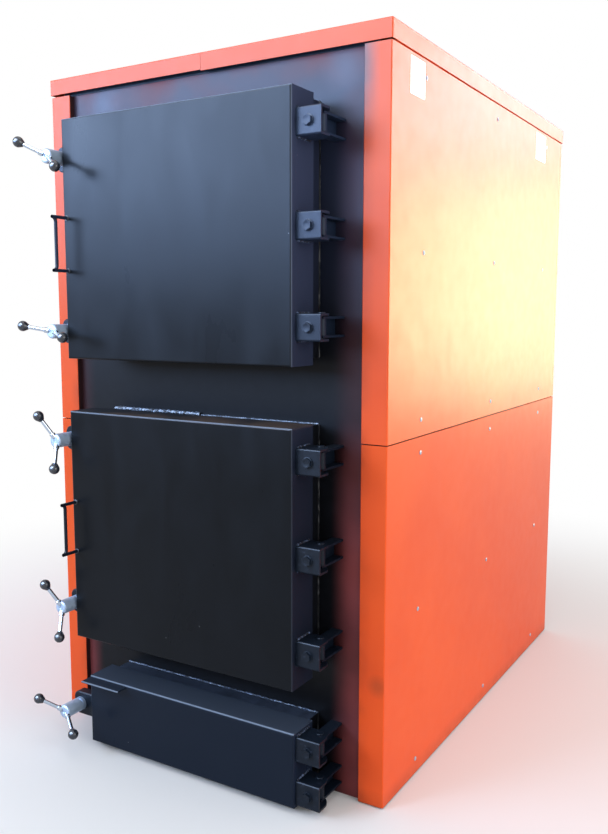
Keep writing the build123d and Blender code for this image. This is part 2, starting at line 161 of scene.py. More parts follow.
def linear(hex_colour):
    """An sRGB hex colour as linear RGBA."""
    channels = [int(hex_colour[i:i + 2], 16) / 255 for i in (0, 2, 4)]
    return [c / 12.92 if c <= 0.04045 else ((c + 0.055) / 1.055) ** 2.4 for c in channels] + [1.0]


def per_metre(millimetres):
    """The pattern scale that repeats about once in this many millimetres."""
    return 1000 / millimetres


def bands_per_metre(millimetres):
    """The scale of a wave pattern whose bands are this many millimetres apart."""
    return per_metre(millimetres) * math.tau / 20


def node(tree, kind, inputs=None, **settings):
    """Add a node with its settings; each input takes a value or another node's socket."""
    new = tree.nodes.new(kind)
    for name, value in settings.items():
        setattr(new, name, value)
    for name, value in (inputs or {}).items():
        if isinstance(value, bpy.types.NodeSocket):
            tree.links.new(value, new.inputs[name])
        else:
            new.inputs[name].default_value = value
    return new


def empty_material(name):
    """A new material, its tree and its Object coordinates."""
    material = bpy.data.materials.new(name)
    material.use_nodes = True
    tree = material.node_tree
    tree.nodes.clear()
    return material, tree, node(tree, "ShaderNodeTexCoord").outputs["Object"]


# Powder coat: polyester baked on sheet steel. An even orange-red with a soft gloss, a fine
# orange-peel skin, grime low down, and black overspray with painted shade where the front strips
# meet the plate.
def powder_coat():
    material, tree, place = empty_material("orange_powder_coat")
    axes = node(tree, "ShaderNodeSeparateXYZ", {"Vector": place})
    clouds = node(tree, "ShaderNodeTexNoise", {"Vector": place, "Scale": per_metre(420), "Detail": 4.0})
    shade = node(tree, "ShaderNodeMapRange",
                 {"Value": clouds.outputs["Fac"], "From Min": 0.35, "From Max": 0.65})
    coat = node(tree, "ShaderNodeMix",
                {0: shade.outputs[0], 6: linear("E2501F"), 7: linear("EA5925")}, data_type="RGBA")
    # Grime rises some 50 mm from the floor in uneven tongues.
    tongues = node(tree, "ShaderNodeTexNoise", {"Vector": place, "Scale": per_metre(45), "Detail": 6.0})
    low = node(tree, "ShaderNodeMapRange", {"Value": axes.outputs["Z"], "From Min": 0.0,
                                            "From Max": 0.05, "To Min": 0.5, "To Max": 0.0})
    grime = node(tree, "ShaderNodeMath", {0: low.outputs[0], 1: tongues.outputs["Fac"]},
                 operation="MULTIPLY")
    soiled = node(tree, "ShaderNodeMix",
                  {0: grime.outputs[0], 6: coat.outputs[2], 7: linear("5A2A1C")}, data_type="RGBA")
    # Black overspray from the front fades out over the first 36 mm of each strip, thickest at the top;
    # below the top the same darkening is painted shade beside the plate.
    across = node(tree, "ShaderNodeMath", {0: axes.outputs["X"]}, operation="ABSOLUTE")
    edge = node(tree, "ShaderNodeMapRange", {"Value": across.outputs[0], "From Min": strip_edge,
                                             "From Max": strip_edge + 0.036, "To Min": 1.0,
                                             "To Max": 0.0})
    at_front = node(tree, "ShaderNodeMath", {0: axes.outputs["Y"], 1: strip_front + 0.0015},
                    operation="LESS_THAN")
    below_cap = node(tree, "ShaderNodeMath", {0: axes.outputs["Z"], 1: cap_foot - 0.002},
                     operation="LESS_THAN")
    drift = node(tree, "ShaderNodeTexNoise", {"Vector": place, "Scale": per_metre(130), "Detail": 3.0})
    patchy = node(tree, "ShaderNodeMapRange", {"Value": drift.outputs["Fac"], "From Min": 0.42,
                                               "From Max": 0.7, "To Min": 0.15, "To Max": 1.0})
    thick = node(tree, "ShaderNodeMapRange", {"Value": axes.outputs["Z"], "From Min": 1.78,
                                              "From Max": 1.95, "To Min": 0.3, "To Max": 0.85})
    overspray_and_shade = edge
    for share in (at_front, patchy, thick):
        overspray_and_shade = node(tree, "ShaderNodeMath", {0: overspray_and_shade.outputs[0], 1: share.outputs[0]},
                    operation="MULTIPLY")
    # The strips' folded inner edges, in the recess beside the plate, are painted dark as shade.
    near_plate = node(tree, "ShaderNodeMath", {0: axes.outputs["Y"], 1: plate_front + 0.007},
                      operation="LESS_THAN")
    on_fold = node(tree, "ShaderNodeMath", {0: across.outputs[0], 1: strip_edge + 0.0005},
                   operation="LESS_THAN")
    painted_fold_shade = node(tree, "ShaderNodeMath", {0: near_plate.outputs[0], 1: on_fold.outputs[0]},
                operation="MULTIPLY")
    overspray_and_shade = node(tree, "ShaderNodeMath", {0: overspray_and_shade.outputs[0], 1: painted_fold_shade.outputs[0]}, operation="MAXIMUM")
    overspray_and_shade = node(tree, "ShaderNodeMath", {0: overspray_and_shade.outputs[0], 1: below_cap.outputs[0]},
                operation="MULTIPLY")
    colour = node(tree, "ShaderNodeMix",
                  {0: overspray_and_shade.outputs[0], 6: soiled.outputs[2], 7: linear("3C262A")}, data_type="RGBA")
    # High on the right strip, over the first 48 mm, a pale blue-grey is painted reflection of sky.
    to_right = node(tree, "ShaderNodeMapRange", {"Value": axes.outputs["X"], "From Min": strip_edge,
                                                 "From Max": strip_edge + 0.048, "To Min": 0.75,
                                                 "To Max": 0.0})
    to_top = node(tree, "ShaderNodeMapRange", {"Value": axes.outputs["Z"], "From Min": 1.80,
                                               "From Max": 1.96})
    on_right = node(tree, "ShaderNodeMath", {0: axes.outputs["X"], 1: strip_edge + 0.0005},
                    operation="GREATER_THAN")
    on_strip = at_front
    for share in (below_cap, on_right):
        on_strip = node(tree, "ShaderNodeMath", {0: on_strip.outputs[0], 1: share.outputs[0]},
                        operation="MULTIPLY")
    painted_sky_sheen = on_strip
    for share in (to_right, to_top):
        painted_sky_sheen = node(tree, "ShaderNodeMath", {0: painted_sky_sheen.outputs[0], 1: share.outputs[0]},
                   operation="MULTIPLY")
    colour = node(tree, "ShaderNodeMix",
                  {0: painted_sky_sheen.outputs[0], 6: colour.outputs[2], 7: linear("5A6074")}, data_type="RGBA")
    # A dark smudge some 70 mm wide crosses the same strip, 353 mm up.
    off_smudge = node(tree, "ShaderNodeVectorMath", {0: place, 1: (0.578, strip_front, 0.353)},
                      operation="DISTANCE")
    smudge = node(tree, "ShaderNodeMapRange", {"Value": off_smudge.outputs["Value"], "From Min": 0.008,
                                               "From Max": 0.038, "To Min": 0.35, "To Max": 0.0})
    smudge = node(tree, "ShaderNodeMath", {0: smudge.outputs[0], 1: on_strip.outputs[0]},
                  operation="MULTIPLY")
    colour = node(tree, "ShaderNodeMix",
                  {0: smudge.outputs[0], 6: colour.outputs[2], 7: linear("6E3A28")}, data_type="RGBA")
    gloss = node(tree, "ShaderNodeMapRange", {"Value": tongues.outputs["Fac"], "From Min": 0.3,
                                              "From Max": 0.7, "To Min": 0.36, "To Max": 0.41})
    # Boiler-room dust lies on the top and takes its gloss.
    on_top = node(tree, "ShaderNodeMath", {0: axes.outputs["Z"], 1: cap_top - 0.001},
                  operation="GREATER_THAN")
    gloss = node(tree, "ShaderNodeMix",
                 {0: on_top.outputs[0], 2: gloss.outputs[0], 3: 0.85}, data_type="FLOAT")
    dust_and_painted_light = node(tree, "ShaderNodeMath", {0: on_top.outputs[0], 1: tongues.outputs["Fac"]},
                operation="MULTIPLY")
    colour = node(tree, "ShaderNodeMix",
                  {0: dust_and_painted_light.outputs[0], 6: colour.outputs[2], 7: linear("C9664A")}, data_type="RGBA")
    # The peel's real dimples of 1.5 mm are too fine to show, so they are drawn 6 mm wide.
    peel = node(tree, "ShaderNodeTexNoise", {"Vector": place, "Scale": per_metre(6), "Detail": 2.0})
    # The lower sheets hang a few degrees off plumb, so their gloss breaks at the seam.
    low_sheet = node(tree, "ShaderNodeMath", {0: axes.outputs["Z"], 1: seam_height},
                     operation="MINIMUM")
    lean = node(tree, "ShaderNodeBump", {"Height": low_sheet.outputs[0], "Strength": 1.0,
                                         "Distance": 0.06})
    skin = node(tree, "ShaderNodeBump", {"Height": peel.outputs["Fac"], "Strength": 0.05,
                                         "Distance": 0.0005, "Normal": lean.outputs[0]})
    coated = node(tree, "ShaderNodeBsdfPrincipled",
                  {"Base Color": colour.outputs[2], "Roughness": gloss.outputs[0], "IOR": 1.5,
                   "Specular IOR Level": 0.16, "Specular Tint": linear("FFF6DE"),
                   "Normal": skin.outputs[0]})
    node(tree, "ShaderNodeOutputMaterial", {"Surface": coated.outputs[0]})
    return material


# Stove black over red oxide primer: sprayed by hand on the welded front. The black is full in the
# middle and thins to bare primer towards both jacket strips, most of all low on the right.
def sprayed_front():
    material, tree, place = empty_material("stove_black_over_red_primer")
    axes = node(tree, "ShaderNodeSeparateXYZ", {"Vector": place})
    # On the left the bare band is 35 mm narrower.
    leftward = node(tree, "ShaderNodeMath", {0: -0.035, 1: axes.outputs["X"]}, operation="SUBTRACT")
    outward = node(tree, "ShaderNodeMath", {0: axes.outputs["X"], 1: leftward.outputs[0]},
                   operation="MAXIMUM")
    to_strip = node(tree, "ShaderNodeMapRange", {"Value": outward.outputs[0], "From Min": 0.415,
                                                 "From Max": 0.495}, interpolation_type="SMOOTHSTEP")
    fade_up = node(tree, "ShaderNodeMapRange", {"Value": axes.outputs["Z"], "From Min": 0.80,
                                                "From Max": 1.08, "To Min": 1.0, "To Max": 0.16})
    to_top = node(tree, "ShaderNodeMapRange", {"Value": axes.outputs["Z"], "From Min": 1.93,
                                               "From Max": 2.04, "To Min": 0.0, "To Max": 0.7})
    bare = node(tree, "ShaderNodeMath", {0: to_strip.outputs[0], 1: fade_up.outputs[0]},
                operation="MULTIPLY")
    passes = node(tree, "ShaderNodeTexNoise", {"Vector": place, "Scale": per_metre(260), "Detail": 3.0,
                                               "Roughness": 0.45})
    missed = node(tree, "ShaderNodeMapRange", {"Value": passes.outputs["Fac"], "From Min": 0.42,
                                               "From Max": 0.60, "To Min": 0.25, "To Max": 1.0})
    top_bare = node(tree, "ShaderNodeMath", {0: to_top.outputs[0], 1: missed.outputs[0]},
                    operation="MULTIPLY")
    bare = node(tree, "ShaderNodeMath", {0: bare.outputs[0], 1: top_bare.outputs[0]},
                operation="MAXIMUM")
    thin_spray_and_glint = node(tree, "ShaderNodeMapRange", {"Value": passes.outputs["Fac"], "From Min": 0.38,
                                             "From Max": 0.62, "To Min": 0.55, "To Max": 1.0})
    primer = node(tree, "ShaderNodeMath", {0: bare.outputs[0], 1: thin_spray_and_glint.outputs[0]}, operation="MULTIPLY")
    speck = node(tree, "ShaderNodeTexNoise", {"Vector": place, "Scale": per_metre(30), "Detail": 8.0})
    black = node(tree, "ShaderNodeMix",
                 {0: speck.outputs["Fac"], 6: linear("0A0B0E"), 7: linear("14161C")}, data_type="RGBA")
    # Above 1.25 m a blue-grey is mixed into the black as a painted sheen of sky.
    high_up = node(tree, "ShaderNodeMapRange", {"Value": axes.outputs["Z"], "From Min": 1.25,
                                                "From Max": 1.65, "To Min": 0.0, "To Max": 0.85})
    black_with_sky_sheen = node(tree, "ShaderNodeMix",
                   {0: high_up.outputs[0], 6: black.outputs[2], 7: linear("282E42")}, data_type="RGBA")
    colour = node(tree, "ShaderNodeMix",
                  {0: primer.outputs[0], 6: black_with_sky_sheen.outputs[2], 7: linear("863F40")}, data_type="RGBA")
    # A pale blue spot, some 110 mm wide and uneven, is a painted reflection of sky in both top
    # corners, at the left 66 mm further in.
    mirrored = node(tree, "ShaderNodeMath", {0: 0.066, 1: axes.outputs["X"]}, operation="SUBTRACT")
    nearer = node(tree, "ShaderNodeMath", {0: axes.outputs["X"], 1: mirrored.outputs[0]},
                  operation="MAXIMUM")
    folded = node(tree, "ShaderNodeCombineXYZ", {"X": nearer.outputs[0], "Y": axes.outputs["Y"],
                                                 "Z": axes.outputs["Z"]})
    off_spot = node(tree, "ShaderNodeVectorMath", {0: folded.outputs[0], 1: (0.456, plate_front, 2.008)},
                    operation="DISTANCE")
    painted_sky_spot = node(tree, "ShaderNodeMapRange", {"Value": off_spot.outputs["Value"], "From Min": 0.0,
                                             "From Max": 0.09, "To Min": 0.62, "To Max": 0.0},
                interpolation_type="SMOOTHSTEP")
    painted_sky_spot = node(tree, "ShaderNodeMath", {0: painted_sky_spot.outputs[0], 1: thin_spray_and_glint.outputs[0]}, operation="MULTIPLY")
    colour = node(tree, "ShaderNodeMix",
                  {0: painted_sky_spot.outputs[0], 6: colour.outputs[2], 7: linear("5C728F")}, data_type="RGBA")
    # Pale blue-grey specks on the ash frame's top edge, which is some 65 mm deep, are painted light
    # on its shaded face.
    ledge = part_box("ash_door_frame")[1].z
    above = node(tree, "ShaderNodeMath", {0: axes.outputs["Z"], 1: ledge - 0.0006},
                 operation="GREATER_THAN")
    below = node(tree, "ShaderNodeMath", {0: axes.outputs["Z"], 1: ledge + 0.0006},
                 operation="LESS_THAN")
    proud = node(tree, "ShaderNodeMath", {0: axes.outputs["Y"], 1: plate_front - 0.001},
                 operation="LESS_THAN")
    dust_and_painted_light = above
    for share in (below, proud, speck):
        dust_and_painted_light = node(tree, "ShaderNodeMath", {0: dust_and_painted_light.outputs[0], 1: share.outputs[0]},
                    operation="MULTIPLY")
    colour = node(tree, "ShaderNodeMix",
                  {0: dust_and_painted_light.outputs[0], 6: colour.outputs[2], 7: linear("465268")}, data_type="RGBA")
    gloss = node(tree, "ShaderNodeMapRange", {"Value": primer.outputs[0], "To Min": 0.36,
                                              "To Max": 0.62})
    # Dry spray leaves a grain of about 2 mm, drawn 5 mm wide so that it shows.
    grain = node(tree, "ShaderNodeTexNoise", {"Vector": place, "Scale": per_metre(5), "Detail": 3.0})
    skin = node(tree, "ShaderNodeBump", {"Height": grain.outputs["Fac"], "Strength": 0.10,
                                         "Distance": 0.0006})
    painted = node(tree, "ShaderNodeBsdfPrincipled",
                   {"Base Color": colour.outputs[2], "Roughness": gloss.outputs[0], "IOR": 1.5,
                    "Specular IOR Level": 0.12, "Normal": skin.outputs[0]})
    node(tree, "ShaderNodeOutputMaterial", {"Surface": painted.outputs[0]})
    return material


# Black enamel on the plate doors: smooth sprayed enamel with a cool sheen, slight waviness of the
# plate under it, wiped smears in the gloss and a few chips down to grey steel.
def door_enamel():
    material, tree, place = empty_material("black_door_enamel")
    axes = node(tree, "ShaderNodeSeparateXYZ", {"Vector": place})
    clouds = node(tree, "ShaderNodeTexNoise", {"Vector": place, "Scale": per_metre(190), "Detail": 5.0})
    enamel = node(tree, "ShaderNodeMix",
                  {0: clouds.outputs["Fac"], 6: linear("070A0E"), 7: linear("0E1219")}, data_type="RGBA")
    # Below 260 mm, on the ash door, the black is bluer: a painted blue cast of sky light.
    low_door = node(tree, "ShaderNodeMapRange", {"Value": axes.outputs["Z"], "From Min": 0.26,
                                                 "From Max": 0.27, "To Min": 0.9, "To Max": 0.0})
    enamel = node(tree, "ShaderNodeMix",
                  {0: low_door.outputs[0], 6: enamel.outputs[2], 7: linear("121C2B")}, data_type="RGBA")
    # Heat has browned the top of the fire door in one long patch.
    on_top = node(tree, "ShaderNodeMapRange", {"Value": axes.outputs["Z"],
                                               "From Min": fire_door_top - 0.006,
                                               "From Max": fire_door_top - 0.001})
    under_top = node(tree, "ShaderNodeMath", {0: axes.outputs["Z"], 1: fire_door_top + 0.010},
                     operation="LESS_THAN")
    patch = node(tree, "ShaderNodeMapRange", {"Value": clouds.outputs["Fac"], "From Min": 0.45,
                                              "From Max": 0.62, "To Min": 0.0, "To Max": 0.5})
    browned = on_top
    for share in (under_top, patch):
        browned = node(tree, "ShaderNodeMath", {0: browned.outputs[0], 1: share.outputs[0]},
                       operation="MULTIPLY")
    heated = node(tree, "ShaderNodeMix",
                  {0: browned.outputs[0], 6: enamel.outputs[2], 7: linear("5B4636")}, data_type="RGBA")
    # The folded sides at the hinges get a grey-blue painted sheen of sky light, most of it high up.
    side = node(tree, "ShaderNodeMath", {0: axes.outputs["X"], 1: door_side - 0.001},
                operation="GREATER_THAN")
    high_up = node(tree, "ShaderNodeMapRange", {"Value": axes.outputs["Z"], "From Min": 0.9,
                                                "From Max": 1.7, "To Min": 0.15, "To Max": 0.7})
    sheen_and_hand_bloom = node(tree, "ShaderNodeMath", {0: side.outputs[0], 1: high_up.outputs[0]},
                 operation="MULTIPLY")
    with_side_sheen = node(tree, "ShaderNodeMix",
                 {0: sheen_and_hand_bloom.outputs[0], 6: heated.outputs[2], 7: linear("3C4560")}, data_type="RGBA")
    # A pale line 4 mm wide along the top front edges is a painted highlight; ash dust lies on the ash door's top.
    highlighted = with_side_sheen
    dull_tops = []
    for piece in ("upper_door_shell", "middle_door_shell", "ash_door_shell", "ash_door_handle"):
        low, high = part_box(piece)
        near_top = node(tree, "ShaderNodeMapRange", {"Value": axes.outputs["Z"],
                                                     "From Min": high.z - 0.004,
                                                     "From Max": high.z - 0.001})
        below = node(tree, "ShaderNodeMath", {0: axes.outputs["Z"], 1: high.z + 0.002},
                     operation="LESS_THAN")
        dust_and_painted_light = 0.1 if piece == "ash_door_shell" else 0.0
        near_front = node(tree, "ShaderNodeMapRange", {"Value": axes.outputs["Y"],
                                                       "From Min": low.y + 0.002,
                                                       "From Max": low.y + 0.005,
                                                       "To Min": 0.9, "To Max": dust_and_painted_light})
        edge_highlight = node(tree, "ShaderNodeMath", {0: near_top.outputs[0], 1: below.outputs[0]},
                   operation="MULTIPLY")
        dull_tops.append(edge_highlight)
        edge_highlight = node(tree, "ShaderNodeMath", {0: edge_highlight.outputs[0], 1: near_front.outputs[0]},
                   operation="MULTIPLY")
        highlighted = node(tree, "ShaderNodeMix",
                    {0: edge_highlight.outputs[0], 6: highlighted.outputs[2], 7: linear("8696AE")}, data_type="RGBA")
    # The two big doors' right front edges get a fainter painted highlight too.
    near_edge = node(tree, "ShaderNodeMapRange", {"Value": axes.outputs["X"],
                                                  "From Min": door_side - 0.0035,
                                                  "From Max": door_side - 0.0005,
                                                  "To Min": 0.0, "To Max": 0.4})
    at_front = node(tree, "ShaderNodeMath", {0: axes.outputs["Y"], 1: door_front + 0.0045},
                    operation="LESS_THAN")
    edge_highlight = near_edge
    for share in (at_front, high_up):
        edge_highlight = node(tree, "ShaderNodeMath", {0: edge_highlight.outputs[0], 1: share.outputs[0]},
                   operation="MULTIPLY")
    highlighted = node(tree, "ShaderNodeMix",
                {0: edge_highlight.outputs[0], 6: highlighted.outputs[2], 7: linear("8696AE")}, data_type="RGBA")
    # A few scattered chips, at most 4 mm wide.
    cells = node(tree, "ShaderNodeTexVoronoi", {"Vector": place, "Scale": per_metre(120)})
    chips = node(tree, "ShaderNodeMapRange", {"Value": cells.outputs["Distance"], "From Min": 0.010,
                                              "From Max": 0.016, "To Min": 0.7, "To Max": 0.0})
    colour = node(tree, "ShaderNodeMix",
                  {0: chips.outputs[0], 6: highlighted.outputs[2], 7: linear("7C828A")}, data_type="RGBA")
    wipe = node(tree, "ShaderNodeMapping", {"Vector": place, "Scale": (1.0, 1.0, 0.35)})
    smears = node(tree, "ShaderNodeTexNoise", {"Vector": wipe.outputs[0], "Scale": per_metre(110),
                                               "Detail": 6.0, "Distortion": 0.6})
    gloss = node(tree, "ShaderNodeMapRange", {"Value": smears.outputs["Fac"], "From Min": 0.3,
                                              "From Max": 0.7, "To Min": 0.27, "To Max": 0.38})
    for dull in dull_tops:
        gloss = node(tree, "ShaderNodeMix", {0: dull.outputs[0], 2: gloss.outputs[0], 3: 0.8},
                     data_type="FLOAT")
    # The plate's buckles are some 300 mm wide and half a millimetre deep.
    buckles = node(tree, "ShaderNodeTexNoise", {"Vector": place, "Scale": per_metre(300), "Detail": 1.0})
    skin = node(tree, "ShaderNodeBump", {"Height": buckles.outputs["Fac"], "Strength": 0.35,
                                         "Distance": 0.004})
    painted = node(tree, "ShaderNodeBsdfPrincipled",
                   {"Base Color": colour.outputs[2], "Roughness": gloss.outputs[0], "IOR": 1.5,
                    "Specular IOR Level": 0.10, "Normal": skin.outputs[0]})
    node(tree, "ShaderNodeOutputMaterial", {"Surface": painted.outputs[0]})
    return material


# Satin zinc plate on turned steel under a clear blue passivation film: a cool grey metal with faint
# tool marks round the hub and a duller bloom where hands have been.
def zinc_plate():
    material, tree, place = empty_material("zinc_plated_steel")
    sheen_and_hand_bloom = node(tree, "ShaderNodeTexNoise", {"Vector": place, "Scale": per_metre(18), "Detail": 5.0})
    colour = node(tree, "ShaderNodeMix",
                  {0: sheen_and_hand_bloom.outputs["Fac"], 6: linear("8C9DB2"), 7: linear("A6B6C9")}, data_type="RGBA")
    gloss = node(tree, "ShaderNodeMapRange", {"Value": sheen_and_hand_bloom.outputs["Fac"], "From Min": 0.3,
                                              "From Max": 0.7, "To Min": 0.42, "To Max": 0.58})
    # Tool marks 0.2 mm apart are drawn 7.5 mm apart so that they show.
    marks = node(tree, "ShaderNodeTexWave", {"Vector": place, "Scale": bands_per_metre(7.5),
                                             "Distortion": 0.4}, bands_direction="Y")
    skin = node(tree, "ShaderNodeBump", {"Height": marks.outputs["Fac"], "Strength": 0.06,
                                         "Distance": 0.0003})
    plated = node(tree, "ShaderNodeBsdfPrincipled",
                  {"Base Color": colour.outputs[2], "Metallic": 0.45, "Roughness": gloss.outputs[0],
                   "Normal": skin.outputs[0]})
    node(tree, "ShaderNodeOutputMaterial", {"Surface": plated.outputs[0]})
    return material


# Bright chrome on the clamp arms: a drawn rod, polished and plated. Near mirror, with fingerprints
# that dull it in spots.
def chrome_rod():
    material, tree, place = empty_material("bright_chrome_rod")
    prints = node(tree, "ShaderNodeTexNoise", {"Vector": place, "Scale": per_metre(22), "Detail": 2.0})
    colour = node(tree, "ShaderNodeMix",
                  {0: prints.outputs["Fac"], 6: linear("A9B6C8"), 7: linear("BAC5D3")}, data_type="RGBA")
    gloss = node(tree, "ShaderNodeMapRange", {"Value": prints.outputs["Fac"], "From Min": 0.35,
                                              "From Max": 0.7, "To Min": 0.09, "To Max": 0.17})
    plated = node(tree, "ShaderNodeBsdfPrincipled",
                  {"Base Color": colour.outputs[2], "Metallic": 1.0, "Roughness": gloss.outputs[0]})
    node(tree, "ShaderNodeOutputMaterial", {"Surface": plated.outputs[0]})
    return material


# Zinc-plated screw thread: the same metal with crests 2.5 mm apart and grease in the roots.
def screw_thread():
    material, tree, place = empty_material("zinc_screw_thread")
    crests = node(tree, "ShaderNodeTexWave", {"Vector": place, "Scale": bands_per_metre(2.5)},
                  bands_direction="Y")
    colour = node(tree, "ShaderNodeMix",
                  {0: crests.outputs["Fac"], 6: linear("3A3632"), 7: linear("B4BDC6")}, data_type="RGBA")
    relief = node(tree, "ShaderNodeBump", {"Height": crests.outputs["Fac"], "Strength": 0.9,
                                           "Distance": 0.0012})
    threaded = node(tree, "ShaderNodeBsdfPrincipled",
                    {"Base Color": colour.outputs[2], "Metallic": 1.0, "Roughness": 0.34,
                     "Normal": relief.outputs[0]})
    node(tree, "ShaderNodeOutputMaterial", {"Surface": threaded.outputs[0]})
    return material


# Black phenolic balls: moulded and tumbled. Deep black with a close highlight and fine rubbing.
def phenolic():
    material, tree, place = empty_material("black_phenolic")
    rubbing = node(tree, "ShaderNodeTexNoise", {"Vector": place, "Scale": per_metre(9), "Detail": 6.0})
    colour = node(tree, "ShaderNodeMix",
                  {0: rubbing.outputs["Fac"], 6: linear("171A21"), 7: linear("292E38")},
                  data_type="RGBA")
    gloss = node(tree, "ShaderNodeMapRange", {"Value": rubbing.outputs["Fac"], "From Min": 0.3,
                                              "From Max": 0.7, "To Min": 0.20, "To Max": 0.36})
    moulded = node(tree, "ShaderNodeBsdfPrincipled",
                   {"Base Color": colour.outputs[2], "Roughness": gloss.outputs[0], "IOR": 1.6})
    node(tree, "ShaderNodeOutputMaterial", {"Surface": moulded.outputs[0]})
    return material


# Brushed-on black over hinge irons, bolts and bows: duller than the doors, with bright rubbed
# spots of some 12 mm where the iron shows.
def hinge_black():
    material, tree, place = empty_material("brushed_black_iron")
    rubbed = node(tree, "ShaderNodeTexNoise", {"Vector": place, "Scale": per_metre(12), "Detail": 7.0,
                                               "Roughness": 0.65})
    bright = node(tree, "ShaderNodeMapRange", {"Value": rubbed.outputs["Fac"], "From Min": 0.60,
                                               "From Max": 0.72, "To Min": 0.0, "To Max": 0.55})
    # High on the boiler a blue-grey is mixed into the black as painted sheen of sky, as on the front beside it.
    axes = node(tree, "ShaderNodeSeparateXYZ", {"Vector": place})
    high_up = node(tree, "ShaderNodeMapRange", {"Value": axes.outputs["Z"], "From Min": 1.1,
                                                "From Max": 1.8, "To Min": 0.0, "To Max": 0.9})
    black = node(tree, "ShaderNodeMix",
                 {0: high_up.outputs[0], 6: linear("0D1622"), 7: linear("243046")}, data_type="RGBA")
    colour = node(tree, "ShaderNodeMix",
                  {0: bright.outputs[0], 6: black.outputs[2], 7: linear("3E4658")}, data_type="RGBA")
    gloss = node(tree, "ShaderNodeMapRange", {"Value": rubbed.outputs["Fac"], "From Min": 0.3,
                                              "From Max": 0.7, "To Min": 0.32, "To Max": 0.50})
    brush = node(tree, "ShaderNodeBump", {"Height": rubbed.outputs["Fac"], "Strength": 0.16,
                                          "Distance": 0.0008})
    painted = node(tree, "ShaderNodeBsdfPrincipled",
                   {"Base Color": colour.outputs[2], "Roughness": gloss.outputs[0], "IOR": 1.5,
                    "Specular IOR Level": 0.15, "Normal": brush.outputs[0]})
    node(tree, "ShaderNodeOutputMaterial", {"Surface": painted.outputs[0]})
    return material


# Weld metal: laid by hand, painted over in part. Lumps of some 7 mm, with pale painted glints of sky on some of
# them.
def weld_metal(name, dark, glint_colour):
    material, tree, place = empty_material(name)
    lumps = node(tree, "ShaderNodeTexNoise", {"Vector": place, "Scale": per_metre(7), "Detail": 5.0})
    thin_spray_and_glint = node(tree, "ShaderNodeMapRange", {"Value": lumps.outputs["Fac"], "From Min": 0.46,
                                             "From Max": 0.66})
    colour = node(tree, "ShaderNodeMix", {0: thin_spray_and_glint.outputs[0], 6: linear(dark), 7: linear(glint_colour)},
                  data_type="RGBA")
    relief = node(tree, "ShaderNodeBump", {"Height": lumps.outputs["Fac"], "Strength": 0.5,
                                           "Distance": 0.002})
    metal = node(tree, "ShaderNodeBsdfPrincipled",
                 {"Base Color": colour.outputs[2], "Roughness": 0.45, "IOR": 1.5,
                  "Normal": relief.outputs[0]})
    node(tree, "ShaderNodeOutputMaterial", {"Surface": metal.outputs[0]})
    return material


# Cast refractory: fireclay concrete. Sandy buff with dark grog of some 5 mm, pores, and soot that
# greys it in clouds.
def refractory():
    material, tree, place = empty_material("cast_refractory")
    sand = node(tree, "ShaderNodeTexNoise", {"Vector": place, "Scale": per_metre(4), "Detail": 8.0,
                                             "Roughness": 0.7})
    clay = node(tree, "ShaderNodeMix",
                {0: sand.outputs["Fac"], 6: linear("9A8B70"), 7: linear("C4B797")}, data_type="RGBA")
    grog = node(tree, "ShaderNodeTexVoronoi", {"Vector": place, "Scale": per_metre(11)})
    grains = node(tree, "ShaderNodeMapRange", {"Value": grog.outputs["Distance"], "From Min": 0.16,
                                               "From Max": 0.24, "To Min": 0.55, "To Max": 0.0})
    speckled = node(tree, "ShaderNodeMix",
                    {0: grains.outputs[0], 6: clay.outputs[2], 7: linear("5E5241")}, data_type="RGBA")
    clouds = node(tree, "ShaderNodeTexNoise", {"Vector": place, "Scale": per_metre(320), "Detail": 6.0})
    soot = node(tree, "ShaderNodeMapRange", {"Value": clouds.outputs["Fac"], "From Min": 0.42,
                                             "From Max": 0.66, "To Min": 0.0, "To Max": 0.8})
    colour = node(tree, "ShaderNodeMix",
                  {0: soot.outputs[0], 6: speckled.outputs[2], 7: linear("332F2B")}, data_type="RGBA")
    relief = node(tree, "ShaderNodeBump", {"Height": sand.outputs["Fac"], "Strength": 0.5,
                                           "Distance": 0.0015})
    cast = node(tree, "ShaderNodeBsdfPrincipled",
                {"Base Color": colour.outputs[2], "Roughness": 0.9, "Normal": relief.outputs[0]})
    node(tree, "ShaderNodeOutputMaterial", {"Surface": cast.outputs[0]})
    return material


# Glass rope: square-braided packing. Two sets of strands cross, each at 45 degrees to the rope and
# 9 mm apart, off-white with grey in the hollows.
def glass_rope():
    material, tree, place = empty_material("braided_glass_rope")
    lay = node(tree, "ShaderNodeMapping", {"Vector": place, "Rotation": (0.0, math.radians(45), 0.0)})
    one_way = node(tree, "ShaderNodeTexWave", {"Vector": lay.outputs[0], "Scale": bands_per_metre(9),
                                               "Distortion": 0.8, "Detail": 2.0}, bands_direction="X")
    other_way = node(tree, "ShaderNodeTexWave", {"Vector": lay.outputs[0], "Scale": bands_per_metre(9),
                                                 "Distortion": 0.8, "Detail": 2.0}, bands_direction="Z")
    strands = node(tree, "ShaderNodeMath", {0: one_way.outputs["Fac"], 1: other_way.outputs["Fac"]},
                   operation="MAXIMUM")
    colour = node(tree, "ShaderNodeMix",
                  {0: strands.outputs[0], 6: linear("8A857A"), 7: linear("C6C1B4")}, data_type="RGBA")
    relief = node(tree, "ShaderNodeBump", {"Height": strands.outputs[0], "Strength": 0.9,
                                           "Distance": 0.004})
    rope = node(tree, "ShaderNodeBsdfPrincipled",
                {"Base Color": colour.outputs[2], "Roughness": 0.85, "Sheen Weight": 0.25,
                 "Normal": relief.outputs[0]})
    node(tree, "ShaderNodeOutputMaterial", {"Surface": rope.outputs[0]})
    return material


